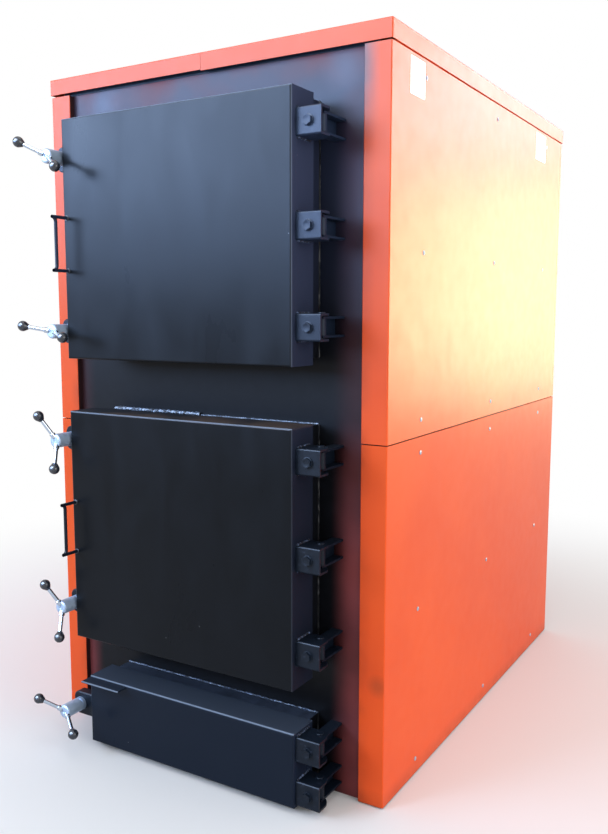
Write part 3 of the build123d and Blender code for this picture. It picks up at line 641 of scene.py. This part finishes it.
# Grey iron, sand-cast: dark and granular, with rust in clouds.
def cast_iron():
    material, tree, place = empty_material("sand_cast_iron")
    sand = node(tree, "ShaderNodeTexNoise", {"Vector": place, "Scale": per_metre(5), "Detail": 6.0})
    clouds = node(tree, "ShaderNodeTexNoise", {"Vector": place, "Scale": per_metre(90), "Detail": 6.0})
    rust = node(tree, "ShaderNodeMapRange", {"Value": clouds.outputs["Fac"], "From Min": 0.48,
                                             "From Max": 0.68, "To Min": 0.0, "To Max": 0.6})
    iron = node(tree, "ShaderNodeMix",
                {0: sand.outputs["Fac"], 6: linear("26262A"), 7: linear("45444A")}, data_type="RGBA")
    colour = node(tree, "ShaderNodeMix",
                  {0: rust.outputs[0], 6: iron.outputs[2], 7: linear("6A4027")}, data_type="RGBA")
    relief = node(tree, "ShaderNodeBump", {"Height": sand.outputs["Fac"], "Strength": 0.5,
                                           "Distance": 0.001})
    cast = node(tree, "ShaderNodeBsdfPrincipled",
                {"Base Color": colour.outputs[2], "Metallic": 0.4, "Roughness": 0.62,
                 "Normal": relief.outputs[0]})
    node(tree, "ShaderNodeOutputMaterial", {"Surface": cast.outputs[0]})
    return material


# Boiler plate with mill scale: blue-grey rolled steel with rust bloom and soot from the fire.
def boiler_plate():
    material, tree, place = empty_material("mill_scale_boiler_plate")
    scale_patches = node(tree, "ShaderNodeTexNoise", {"Vector": place, "Scale": per_metre(70),
                                                      "Detail": 7.0, "Roughness": 0.6})
    clouds = node(tree, "ShaderNodeTexNoise", {"Vector": place, "Scale": per_metre(400), "Detail": 5.0})
    steel = node(tree, "ShaderNodeMix",
                 {0: scale_patches.outputs["Fac"], 6: linear("2E3136"), 7: linear("565A60")},
                 data_type="RGBA")
    rust = node(tree, "ShaderNodeMapRange", {"Value": scale_patches.outputs["Fac"], "From Min": 0.56,
                                             "From Max": 0.72, "To Min": 0.0, "To Max": 0.7})
    rusted = node(tree, "ShaderNodeMix",
                  {0: rust.outputs[0], 6: steel.outputs[2], 7: linear("75472C")}, data_type="RGBA")
    soot = node(tree, "ShaderNodeMapRange", {"Value": clouds.outputs["Fac"], "From Min": 0.40,
                                             "From Max": 0.60, "To Min": 0.1, "To Max": 0.85})
    colour = node(tree, "ShaderNodeMix",
                  {0: soot.outputs[0], 6: rusted.outputs[2], 7: linear("1A1918")}, data_type="RGBA")
    relief = node(tree, "ShaderNodeBump", {"Height": scale_patches.outputs["Fac"], "Strength": 0.3,
                                           "Distance": 0.001})
    plate = node(tree, "ShaderNodeBsdfPrincipled",
                 {"Base Color": colour.outputs[2], "Metallic": 0.3, "Roughness": 0.6,
                  "Normal": relief.outputs[0]})
    node(tree, "ShaderNodeOutputMaterial", {"Surface": plate.outputs[0]})
    return material


# Vinyl label stock: blank and white, a smooth film that is a little grubby in spots.
def label_vinyl():
    material, tree, place = empty_material("white_label_vinyl")
    dust_and_painted_light = node(tree, "ShaderNodeTexNoise", {"Vector": place, "Scale": per_metre(25), "Detail": 6.0})
    tint = node(tree, "ShaderNodeMapRange", {"Value": dust_and_painted_light.outputs["Fac"], "From Min": 0.5,
                                             "From Max": 0.8, "To Min": 0.0, "To Max": 0.5})
    colour = node(tree, "ShaderNodeMix",
                  {0: tint.outputs[0], 6: linear("F6F5F2"), 7: linear("DEDAD4")}, data_type="RGBA")
    film = node(tree, "ShaderNodeBsdfPrincipled",
                {"Base Color": colour.outputs[2], "Roughness": 0.35, "IOR": 1.5})
    node(tree, "ShaderNodeOutputMaterial", {"Surface": film.outputs[0]})
    return material


coat = powder_coat()
front_paint = sprayed_front()
enamel = door_enamel()
zinc = zinc_plate()
chrome = chrome_rod()
thread = screw_thread()
ball_black = phenolic()
iron_black = hinge_black()
clay = refractory()
rope = glass_rope()
grey_iron = cast_iron()
plate_steel = boiler_plate()
vinyl = label_vinyl()
dark_weld = weld_metal("painted_weld", "0C0E12", "191C22")
pale_weld = weld_metal("weld_with_bright_painted_glints", "1E232B", "8296B4")
weld_with_painted_glints = weld_metal("weld_with_painted_glints", "141820", "64779A")

finish_of_slot = {
    "jacket_orange": coat,
    "front_black": front_paint,
    "door_black": enamel,
    "plated_steel": zinc,
    "ball_plastic": ball_black,
    "handle_rod": iron_black,
    "bolt_steel": iron_black,
    "refractory": clay,
    "rope_seal": rope,
    "cast_iron": grey_iron,
    "vessel_steel": plate_steel,
    "pipe_black": iron_black,
}
for subpart in frame["record"]["subparts"]:
    nodes[subpart["node"]].data.materials[0] = finish_of_slot[subpart["material_slot"]]
for door in ("upper", "middle", "ash"):
    nodes[f"{door}_hinge_lugs"].data.materials[0] = iron_black
    nodes[f"{door}_clamp_lugs"].data.materials[0] = iron_black
nodes["hinge_brackets"].data.materials[0] = iron_black
nodes["clamp_keepers"].data.materials[0] = iron_black


def select_only(piece):
    bpy.ops.object.select_all(action="DESELECT")
    piece.select_set(True)
    bpy.context.view_layer.objects.active = piece


def place_in_mesh(piece):
    """Move a piece's place into its mesh, so that its object sits at the origin."""
    select_only(piece)
    bpy.ops.object.transform_apply(location=True, rotation=True, scale=True)
    return piece


def open_edit(piece, kind, action):
    """Open a piece for editing by its faces or edges, with all or none of them selected."""
    if piece.mode == "OBJECT":
        select_only(piece)
        bpy.ops.object.mode_set(mode="EDIT")
    bpy.ops.mesh.select_mode(type=kind)
    bpy.ops.mesh.select_all(action=action)


def close_edit():
    bpy.ops.object.mode_set(mode="OBJECT")


def pick_faces(piece, wanted):
    """Select just the faces whose middle and normal pass the test."""
    open_edit(piece, "FACE", "DESELECT")
    mesh = bmesh.from_edit_mesh(piece.data)
    for face in mesh.faces:
        face.select_set(wanted(face.calc_center_median(), face.normal))
    bmesh.update_edit_mesh(piece.data)


def pick_edges(piece, wanted):
    """Select just the edges whose two ends pass the test."""
    open_edit(piece, "EDGE", "DESELECT")
    mesh = bmesh.from_edit_mesh(piece.data)
    for edge in mesh.edges:
        edge.select_set(wanted(edge.verts[0].co, edge.verts[1].co))
    bmesh.update_edit_mesh(piece.data)


def push(distance):
    """Draw the selected faces out by a vector."""
    bpy.ops.mesh.extrude_region_move(TRANSFORM_OT_translate={"value": distance})


def copy_to(master, place):
    """A copy of a piece with its own mesh, moved by a matrix."""
    select_only(master)
    bpy.ops.object.duplicate()
    copy = bpy.context.object
    copy.matrix_world = place @ copy.matrix_world
    return place_in_mesh(copy)


def join(pieces):
    bpy.ops.object.select_all(action="DESELECT")
    for piece in pieces:
        piece.select_set(True)
    bpy.context.view_layer.objects.active = pieces[0]
    bpy.ops.object.join()
    return bpy.context.object


def discard(piece):
    select_only(piece)
    bpy.ops.object.delete()


def fit(piece, name, body, finish=None):
    """Name a finished piece, smooth its curves, give it its finish and let it ride on its body."""
    piece.name = name
    piece.data.name = name
    if finish:
        piece.data.materials.clear()
        piece.data.materials.append(finish)
    select_only(piece)
    bpy.ops.object.shade_smooth_by_angle(angle=math.radians(35))
    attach(piece, body)
    return piece


# Screw clamps
def turn_hub(tail):
    """A turned hub: rounded nose with a centre dimple, a groove, and the clamp screw behind it."""
    bpy.ops.mesh.primitive_cylinder_add(vertices=64, radius=hub_radius, depth=hub_length,
                                        location=(0, -hub_length / 2, 0), rotation=(math.pi / 2, 0, 0))
    hub = place_in_mesh(bpy.context.object)
    hub.data.materials.append(zinc)
    hub.data.materials.append(thread)
    pick_faces(hub, lambda middle, normal: normal.y < -0.9)
    bpy.ops.mesh.region_to_loop()
    bpy.ops.mesh.bevel(offset=hub_nose, segments=6, affect="EDGES")
    pick_faces(hub, lambda middle, normal: normal.y < -0.9999)
    bpy.ops.mesh.inset(thickness=hub_radius - hub_nose - hub_dimple)
    bpy.ops.mesh.inset(thickness=hub_dimple_slope, depth=-hub_dimple_depth)
    for depth in hub_groove:
        open_edit(hub, "FACE", "SELECT")
        bpy.ops.mesh.bisect(plane_co=(0, -depth, 0), plane_no=(0, 1, 0))
    pick_faces(hub, lambda middle, normal: -hub_groove[1] < middle.y < -hub_groove[0])
    bpy.ops.mesh.extrude_region_move()
    bpy.ops.transform.resize(value=(hub_groove_share, 1, hub_groove_share))
    pick_faces(hub, lambda middle, normal: normal.y > 0.9999 and middle.y > -0.0001)
    bpy.ops.mesh.inset(thickness=hub_radius - screw_radius)
    push((0, tail - screw_tip, 0))
    bpy.ops.mesh.inset(thickness=screw_tip)
    push((0, screw_tip, 0))
    pick_faces(hub, lambda middle, normal: middle.y > 0.0001)
    hub.active_material_index = 1
    bpy.ops.object.material_slot_assign()
    close_edit()
    return hub


def turn_arm():
    """A rod along X with a shoulder where it screws into the hub."""
    foot = hub_radius * arm_foot_share
    shoulder = hub_radius + arm_collar_height - foot
    bpy.ops.mesh.primitive_cylinder_add(vertices=32, radius=arm_collar_radius, depth=shoulder,
                                        location=(foot + shoulder / 2, 0, 0),
                                        rotation=(0, math.pi / 2, 0))
    arm = place_in_mesh(bpy.context.object)
    arm.data.materials.append(chrome)
    pick_faces(arm, lambda middle, normal: normal.x > 0.9)
    bpy.ops.mesh.inset(thickness=arm_collar_radius - arm_radius, depth=arm_collar_edge)
    push((arm_reach - ball_radius - foot - shoulder, 0, 0))
    close_edit()
    return arm


def mould_ball():
    """A ball knob that tapers to a flat neck where its arm screws in."""
    bpy.ops.mesh.primitive_uv_sphere_add(segments=40, ring_count=24, radius=ball_radius,
                                         location=(arm_reach, 0, 0), rotation=(0, math.pi / 2, 0))
    ball = place_in_mesh(bpy.context.object)
    open_edit(ball, "FACE", "SELECT")
    bpy.ops.mesh.bisect(plane_co=(arm_reach - ball_cut, 0, 0), plane_no=(1, 0, 0), use_fill=True,
                        clear_inner=True)
    pick_faces(ball, lambda middle, normal: normal.x < -0.9999)
    push((-ball_neck, 0, 0))
    bpy.ops.transform.resize(value=(1, ball_taper, ball_taper))
    bpy.ops.mesh.region_to_loop()
    bpy.ops.mesh.bevel(offset=ball_neck_edge, segments=2, affect="EDGES")
    close_edit()
    return ball


ball_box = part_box("upper_top_clamp_balls")
hub_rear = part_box("upper_clamp_lugs")[0].y - hub_seat
screw_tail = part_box("upper_top_clamp_handle")[1].y - hub_rear
arm_y = (ball_box[0].y + ball_box[1].y) / 2 + arm_reach * math.sin(arm_rake)
raked = Matrix.Translation((0, arm_y - hub_rear, 0)) @ Matrix.Rotation(-arm_rake, 4, "Z")
opposite = Matrix.Rotation(math.pi, 4, "Y") @ raked

arm = turn_arm()
ball = mould_ball()
clamp_handle = join([turn_hub(screw_tail), copy_to(arm, raked), copy_to(arm, opposite)])
clamp_balls = join([copy_to(ball, raked), copy_to(ball, opposite)])
discard(arm)
discard(ball)
for clamp, turn in arm_turn.items():
    axis = joint_place[clamp]
    place = Matrix.Translation((axis.x, hub_rear, axis.z)) @ Matrix.Rotation(-turn, 4, "Y")
    handle = fit(copy_to(clamp_handle, place), f"{clamp}_spokes", clamp)
    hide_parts(f"{clamp}_handle")
    balls = fit(copy_to(clamp_balls, place), f"{clamp}_knobs", clamp, ball_black)
    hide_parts(f"{clamp}_balls")
discard(clamp_handle)
discard(clamp_balls)


# Bow handles
def bend_bow(low, high):
    """A round rod drawn out of the door, bent up, run as a grip and bent back to the door."""
    x = (low.x + high.x) / 2
    grip = low.y + bow_radius
    foot = low.z + bow_radius
    head = high.z - bow_radius
    bpy.ops.mesh.primitive_circle_add(vertices=24, radius=bow_radius, location=(x, high.y, foot),
                                      rotation=(math.pi / 2, 0, 0))
    bow = place_in_mesh(bpy.context.object)
    open_edit(bow, "EDGE", "SELECT")
    push((0, grip + bow_bend - high.y, 0))
    bpy.ops.mesh.spin(steps=10, angle=-math.pi / 2, center=(x, grip + bow_bend, foot + bow_bend),
                      axis=(1, 0, 0))
    push((0, 0, head - foot - 2 * bow_bend))
    bpy.ops.mesh.spin(steps=10, angle=-math.pi / 2, center=(x, grip + bow_bend, head - bow_bend),
                      axis=(1, 0, 0))
    push((0, high.y - grip - bow_bend, 0))
    bpy.ops.mesh.select_all(action="SELECT")
    bpy.ops.mesh.remove_doubles(threshold=0.00001)
    bpy.ops.mesh.fill_holes(sides=0)
    bpy.ops.mesh.select_all(action="SELECT")
    bpy.ops.mesh.normals_make_consistent(inside=False)
    close_edit()
    return bow


def weld_ring(x, y, z, seed):
    """A lumpy ring of weld round a rod's foot."""
    bpy.ops.mesh.primitive_torus_add(major_segments=28, minor_segments=8,
                                     major_radius=bow_radius + bow_weld_gap,
                                     minor_radius=bow_weld_radius, location=(x, y, z),
                                     rotation=(math.pi / 2, 0, 0))
    ring = place_in_mesh(bpy.context.object)
    open_edit(ring, "FACE", "SELECT")
    bpy.ops.transform.vertex_random(offset=bow_weld_stray, seed=seed)
    close_edit()
    return ring


for door in ("upper", "middle"):
    low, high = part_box(f"{door}_door_handle")
    x = (low.x + high.x) / 2
    bow = fit(bend_bow(low, high), f"{door}_bow_handle", f"{door}_door", iron_black)
    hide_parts(f"{door}_door_handle")
    feet = [weld_ring(x, high.y, low.z + bow_radius, 3), weld_ring(x, high.y, high.z - bow_radius, 8)]
    fit(join(feet), f"{door}_bow_welds", f"{door}_door", dark_weld)


# Hinge bolts: a chamfered hexagon on a washer in each lug's web, and a headed pin through the barrel
def forge_bolt(x, y, z):
    """A hexagon head with a hollow in its face, on a washer that lies on the face at y."""
    head_height = bolt_height - washer_height
    bpy.ops.mesh.primitive_cylinder_add(vertices=6, radius=bolt_flats / math.sqrt(3), depth=head_height,
                                        location=(x, y - washer_height - head_height / 2, z),
                                        rotation=(math.pi / 2, 0, 0))
    head = place_in_mesh(bpy.context.object)
    pick_faces(head, lambda middle, normal: normal.y < -0.9)
    bpy.ops.mesh.inset(thickness=bolt_chamfer, depth=0.0)
    bpy.ops.transform.translate(value=(0, -bolt_crown, 0))
    pick_faces(head, lambda middle, normal: normal.y < -0.999)
    bpy.ops.mesh.inset(thickness=bolt_hollow_rim, depth=-bolt_hollow)
    close_edit()
    bpy.ops.mesh.primitive_cylinder_add(vertices=32, radius=washer_radius, depth=washer_height,
                                        location=(x, y - washer_height / 2, z),
                                        rotation=(math.pi / 2, 0, 0))
    washer = place_in_mesh(bpy.context.object)
    pick_faces(washer, lambda middle, normal: normal.y < -0.9)
    bpy.ops.mesh.region_to_loop()
    bpy.ops.mesh.bevel(offset=washer_edge, segments=2, affect="EDGES")
    close_edit()
    return join([head, washer])


def turn_pin(x, y, low, high):
    """An upright pin with a rounded head on top."""
    length = high - low - pin_head_height
    bpy.ops.mesh.primitive_cylinder_add(vertices=32, radius=pin_radius, depth=length,
                                        location=(x, y, low + length / 2))
    pin = place_in_mesh(bpy.context.object)
    pick_faces(pin, lambda middle, normal: normal.z > 0.9)
    bpy.ops.mesh.extrude_region_move()
    bpy.ops.transform.resize(value=(pin_head_radius / pin_radius, pin_head_radius / pin_radius, 1))
    push((0, 0, pin_head_height))
    bpy.ops.mesh.region_to_loop()
    bpy.ops.mesh.bevel(offset=pin_head_edge, segments=3, affect="EDGES")
    close_edit()
    return pin


for door, count in hinge_count.items():
    low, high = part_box(f"{door}_hinge_lugs")
    axis = joint_place[f"{door}_door"]
    top = high.z - lug_height / 2
    step = (high.z - low.z - lug_height) / (count - 1)
    pieces = []
    for i in range(count):
        z = top - i * step
        pieces.append(forge_bolt((low.x + high.x) / 2, low.y, z))
        pieces.append(turn_pin(axis.x, axis.y, z - lug_height / 2, z + lug_height / 2 + pin_head_height))
    bolts = fit(join(pieces), f"{door}_hinge_irons", f"{door}_door", iron_black)
    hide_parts(f"{door}_hinge_bolts")


# Weld runs
def lay_weld(start, end, width, seed):
    """A run of weld: a round bar cut into short lengths and unevened."""
    start = Vector(start)
    end = Vector(end)
    run = end - start
    bpy.ops.mesh.primitive_cylinder_add(vertices=8, radius=width / 2, depth=run.length,
                                        location=(start + end) / 2,
                                        rotation=run.to_track_quat("Z", "Y").to_euler())
    bead = place_in_mesh(bpy.context.object)
    pick_edges(bead, lambda a, b: (a - b).length > run.length * 0.9)
    bpy.ops.mesh.subdivide(number_cuts=max(2, int(run.length / weld_step)))
    bpy.ops.mesh.select_all(action="SELECT")
    bpy.ops.transform.vertex_random(offset=width * weld_stray_share, seed=seed)
    close_edit()
    return bead


def weld_across(left, right, z, seed, width=thin_weld_width, proud=thin_weld_proud):
    """A level run of weld on the front plate."""
    y = plate_front - proud
    return lay_weld((left, y, z), (right, y, z), width, seed)


def weld_upright(x, low, high, seed):
    """A thin upright run of weld on the front plate."""
    y = plate_front - thin_weld_proud
    return lay_weld((x, y, low), (x, y, high), thin_weld_width, seed)


upper_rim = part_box("upper_door_frame")
middle_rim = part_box("middle_door_frame")
ash_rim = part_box("ash_door_frame")

fire_seam = weld_across(middle_rim[0].x + rough_weld_indent, rough_weld_end,
                        middle_rim[1].z + rough_weld_rise, 5, rough_weld_width, rough_weld_proud)
fit(fire_seam, "fire_door_frame_rough_weld", "boiler", pale_weld)
thin_seam = weld_across(rough_weld_end, middle_rim[1].x, middle_rim[1].z + thin_weld_rise, 6)
ash_seam = weld_across(ash_rim[0].x, ash_rim[1].x, ash_rim[1].z + thin_weld_rise, 7)
fit(join([thin_seam, ash_seam]), "door_frame_thin_welds", "boiler", weld_with_painted_glints)

rim_runs = []
for seed, rim in enumerate((upper_rim, middle_rim, ash_rim)):
    low, high = rim
    for x in (low.x, high.x):
        rim_runs.append(weld_upright(x, low.z, high.z, 20 + seed))
    rim_runs.append(weld_across(low.x, high.x, low.z, 30 + seed))
rim_runs.append(weld_across(upper_rim[0].x, upper_rim[1].x, upper_rim[1].z, 40))
fit(join(rim_runs), "door_frame_welds", "boiler", dark_weld)

for door, count in hinge_count.items():
    low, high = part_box(f"{door}_hinge_lugs")
    x = low.x + lug_weld_inset
    step = (high.z - low.z - lug_height) / (count - 1)
    runs = []
    for i in range(count):
        top = high.z - i * step
        for z in (top, top - lug_height):
            runs.append(lay_weld((x, low.y + lug_weld_setback, z), (x, high.y, z),
                                 lug_weld_width, 50 + i))
    fit(join(runs), f"{door}_lug_welds", f"{door}_door", weld_with_painted_glints)


# Closing strips: a folded sheet stands on the front plate's top edge and on the rear panel's, behind
# the cap's skirt, so that no light shows through under the cap
def fold_strip(face, inward, foot_height):
    """An upright sheet with a foot turned inwards along its lower edge and a rounded fold."""
    middle_y = face + inward * closing_sheet / 2
    foot_top = foot_height + closing_sheet
    bpy.ops.mesh.primitive_cube_add(size=1, location=(0, middle_y, foot_height + closing_height / 2),
                                    scale=(2 * closing_half_length, closing_sheet, closing_height))
    strip = place_in_mesh(bpy.context.object)
    open_edit(strip, "FACE", "SELECT")
    bpy.ops.mesh.bisect(plane_co=(0, 0, foot_top), plane_no=(0, 0, 1))
    pick_faces(strip, lambda middle, normal: normal.y * inward > 0.9 and middle.z < foot_top)
    push((0, inward * closing_foot, 0))
    pick_edges(strip, lambda a, b: max(abs(a.y - face), abs(b.y - face)) < 0.0001
               and max(a.z, b.z) < foot_height + 0.0001)
    bpy.ops.mesh.bevel(offset=closing_sheet * closing_bend_share, segments=4, affect="EDGES")
    close_edit()
    return strip


front_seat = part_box("front_plate")
rear_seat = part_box("rear_upper_panel")
fit(fold_strip(front_seat[0].y + closing_seat, 1, front_seat[1].z + closing_seat),
    "front_closing_strip", "boiler", iron_black)
fit(fold_strip(rear_seat[1].y - closing_seat, -1, rear_seat[1].z + closing_seat),
    "rear_closing_strip", "boiler", coat)


# Panel screws: a domed head with a slot, on the side and rear panels
def stamp_screw():
    """A screw head at the origin that looks along +Z."""
    bpy.ops.mesh.primitive_cylinder_add(vertices=20, radius=screw_head_radius,
                                        depth=screw_head_height / 2,
                                        location=(0, 0, screw_head_height / 4))
    head = place_in_mesh(bpy.context.object)
    pick_faces(head, lambda middle, normal: normal.z > 0.9)
    for rim, rise in screw_crown:
        bpy.ops.mesh.inset(thickness=screw_head_radius * rim, depth=screw_head_height * rise)
    close_edit()
    bpy.ops.mesh.primitive_cube_add(size=1, location=(0, 0, screw_head_height),
                                    scale=(screw_slot, 3 * screw_head_radius, screw_head_height))
    blade = place_in_mesh(bpy.context.object)
    select_only(head)
    slot = head.modifiers.new("slot", "BOOLEAN")
    slot.operation = "DIFFERENCE"
    slot.object = blade
    bpy.ops.object.modifier_apply(modifier=slot.name)
    discard(blade)
    return head


screw = stamp_screw()
side_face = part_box("right_lower_panel")[1].x
rear_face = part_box("rear_lower_panel")[1].y
rows = {"lower": lower_screw_heights, "upper": upper_screw_heights}
for level, heights in rows.items():
    for side_name, sign in (("right", 1), ("left", -1)):
        heads = []
        for i, y in enumerate(side_screw_places):
            for j, z in enumerate(heights):
                lean = Matrix.Rotation(side_screw_turn[0] * i + side_screw_turn[1] * j, 4, "Z")
                face = Matrix.Rotation(sign * math.pi / 2, 4, "Y")
                heads.append(copy_to(screw, Matrix.Translation((sign * side_face, y, z)) @ face @ lean))
        fit(join(heads), f"{side_name}_{level}_screws", "boiler", zinc)
    heads = []
    for i, x in enumerate(rear_screw_places):
        for j, z in enumerate(heights):
            # The middle column has two screws, both in the lower panel.
            if i == 1 and not (level == "lower" and j > 0):
                continue
            lean = Matrix.Rotation(rear_screw_turn[0] * i + rear_screw_turn[1] * j, 4, "Z")
            face = Matrix.Rotation(-math.pi / 2, 4, "X")
            heads.append(copy_to(screw, Matrix.Translation((x, rear_face, z)) @ face @ lean))
    fit(join(heads), f"rear_{level}_screws", "boiler", zinc)
discard(screw)


# Blank stickers on the right side
for name, (near, far, low, high) in sticker_places.items():
    bpy.ops.mesh.primitive_plane_add(size=1, location=(side_face, (near + far) / 2, (low + high) / 2),
                                     rotation=(0, math.pi / 2, 0))
    sticker = place_in_mesh(bpy.context.object)
    open_edit(sticker, "FACE", "SELECT")
    bpy.ops.transform.resize(value=(1, far - near, high - low))
    bpy.ops.mesh.bevel(offset=sticker_corner, segments=4, affect="VERTICES")
    bpy.ops.mesh.select_all(action="SELECT")
    push((sticker_thickness, 0, 0))
    bpy.ops.mesh.select_all(action="SELECT")
    bpy.ops.mesh.normals_make_consistent(inside=False)
    close_edit()
    fit(sticker, name, "boiler", vinyl)


# Floor, studio and camera
def looked_at(tree):
    """A socket that is 1 for what the camera sees, straight or by way of gloss and glass, else 0."""
    path = node(tree, "ShaderNodeLightPath")
    looked = node(tree, "ShaderNodeMath",
                  {0: path.outputs["Is Camera Ray"], 1: path.outputs["Is Glossy Ray"]},
                  operation="MAXIMUM")
    looked = node(tree, "ShaderNodeMath", {0: looked.outputs[0], 1: path.outputs["Is Transmission Ray"]},
                  operation="MAXIMUM")
    return looked.outputs[0]


# The pale floor turns to plain white between 1.2 and 3.2 m from the boiler's middle.
bpy.ops.mesh.primitive_plane_add(size=60, location=(0, 0, 0))
floor = bpy.context.object
floor.name = "floor"
floor_paint, tree, place = empty_material("pale_floor")
away = node(tree, "ShaderNodeVectorMath", {0: place}, operation="LENGTH")
fade = node(tree, "ShaderNodeMapRange",
            {"Value": away.outputs["Value"], "From Min": 1.2, "From Max": 3.2},
            interpolation_type="SMOOTHSTEP")
share = node(tree, "ShaderNodeMath", {0: fade.outputs[0], 1: looked_at(tree)}, operation="MULTIPLY")
matt = node(tree, "ShaderNodeBsdfDiffuse", {"Color": linear("E9E9E9")})
white = node(tree, "ShaderNodeEmission", {"Color": linear("FFFFFF"), "Strength": 1.0})
blended = node(tree, "ShaderNodeMixShader",
               {0: share.outputs[0], 1: matt.outputs[0], 2: white.outputs[0]})
node(tree, "ShaderNodeOutputMaterial", {"Surface": blended.outputs[0]})
floor.data.materials.append(floor_paint)

world = bpy.data.worlds.new("studio")
bpy.context.scene.world = world
world.use_nodes = True
tree = world.node_tree
tree.nodes.clear()
level = node(tree, "ShaderNodeMapRange", {"Value": looked_at(tree), "To Min": 0.80, "To Max": 1.0})
air = node(tree, "ShaderNodeBackground", {"Color": linear("FFFFFF"), "Strength": level.outputs[0]})
node(tree, "ShaderNodeOutputWorld", {"Surface": air.outputs[0]})


def hang_softbox(name, place, aim, width, height, radiance, tint):
    """A soft lamp panel at a place, turned to a point; its power follows from its brightness."""
    way = Vector(aim) - Vector(place)
    bpy.ops.object.light_add(type="AREA", location=place,
                             rotation=way.to_track_quat("-Z", "Y").to_euler())
    lamp = bpy.context.object
    lamp.name = name
    lamp.data.shape = "RECTANGLE"
    lamp.data.size = width
    lamp.data.size_y = height
    lamp.data.energy = radiance * math.pi * width * height
    lamp.data.color = linear(tint)[:3]
    lamp.visible_camera = False
    return lamp


def hang_card(name, place, aim, width, height, radiance, tint):
    """A bright card that only glossy paint and metal see, for the sheen of sky on them."""
    card = hang_softbox(name, place, aim, width, height, radiance, tint)
    card.visible_diffuse = False


hang_softbox("door_softbox", place=(-3.4, -4.9, 3.2), aim=(0, -0.8, 1.4),
             width=3.6, height=1.4, radiance=13.0, tint="C8DEFF")
hang_softbox("right_softbox", place=(5.6, -1.6, 2.2), aim=(0.3, 0, 0.9),
             width=3.0, height=3.0, radiance=3.9, tint="FFFFFF")
hang_softbox("top_softbox", place=(0.5, -0.5, 5.5), aim=(0, 0, 1.0),
             width=3.0, height=3.0, radiance=1.6, tint="FFFFFF")
hang_card("sky_card", place=(-2.7, -5.2, 2.95), aim=(0, -0.8, 1.6),
          width=5.6, height=2.4, radiance=22.0, tint="A4C8FF")
hang_card("upper_sky_card", place=(-1.0, -4.8, 4.9), aim=(0.1, -0.8, 1.9),
          width=5.0, height=1.8, radiance=42.0, tint="CCE0FF")
hang_card("warm_card", place=(3.2, 5.6, 1.6), aim=(0.6, 0, 1.6),
          width=2.2, height=2.2, radiance=22.0, tint="FFF2C4")
hang_card("high_card", place=(3.3, 5.6, 3.75), aim=(0.6, 0, 1.9),
          width=2.6, height=1.7, radiance=17.0, tint="FFF2F6")

# The camera's place, the three ways it is turned by and its lens are fitted to the photograph.
camera_place = (1.5727, -2.8554, 1.3730)
to_right = Vector((0.8573, 0.5148, 0.0010))
to_top = Vector((-0.0630, 0.1031, 0.9927))
to_front = Vector((-0.5109, 0.8511, -0.1208))
turned = Matrix((to_right, to_top, -to_front)).transposed()
bpy.ops.object.camera_add()
camera = bpy.context.object
camera.name = "photo_camera"
camera.matrix_world = Matrix.Translation(camera_place) @ turned.to_4x4()
camera.data.sensor_width = 36.0
camera.data.lens = 37.52
bpy.context.scene.camera = camera
bpy.context.scene.view_settings.view_transform = "Standard"
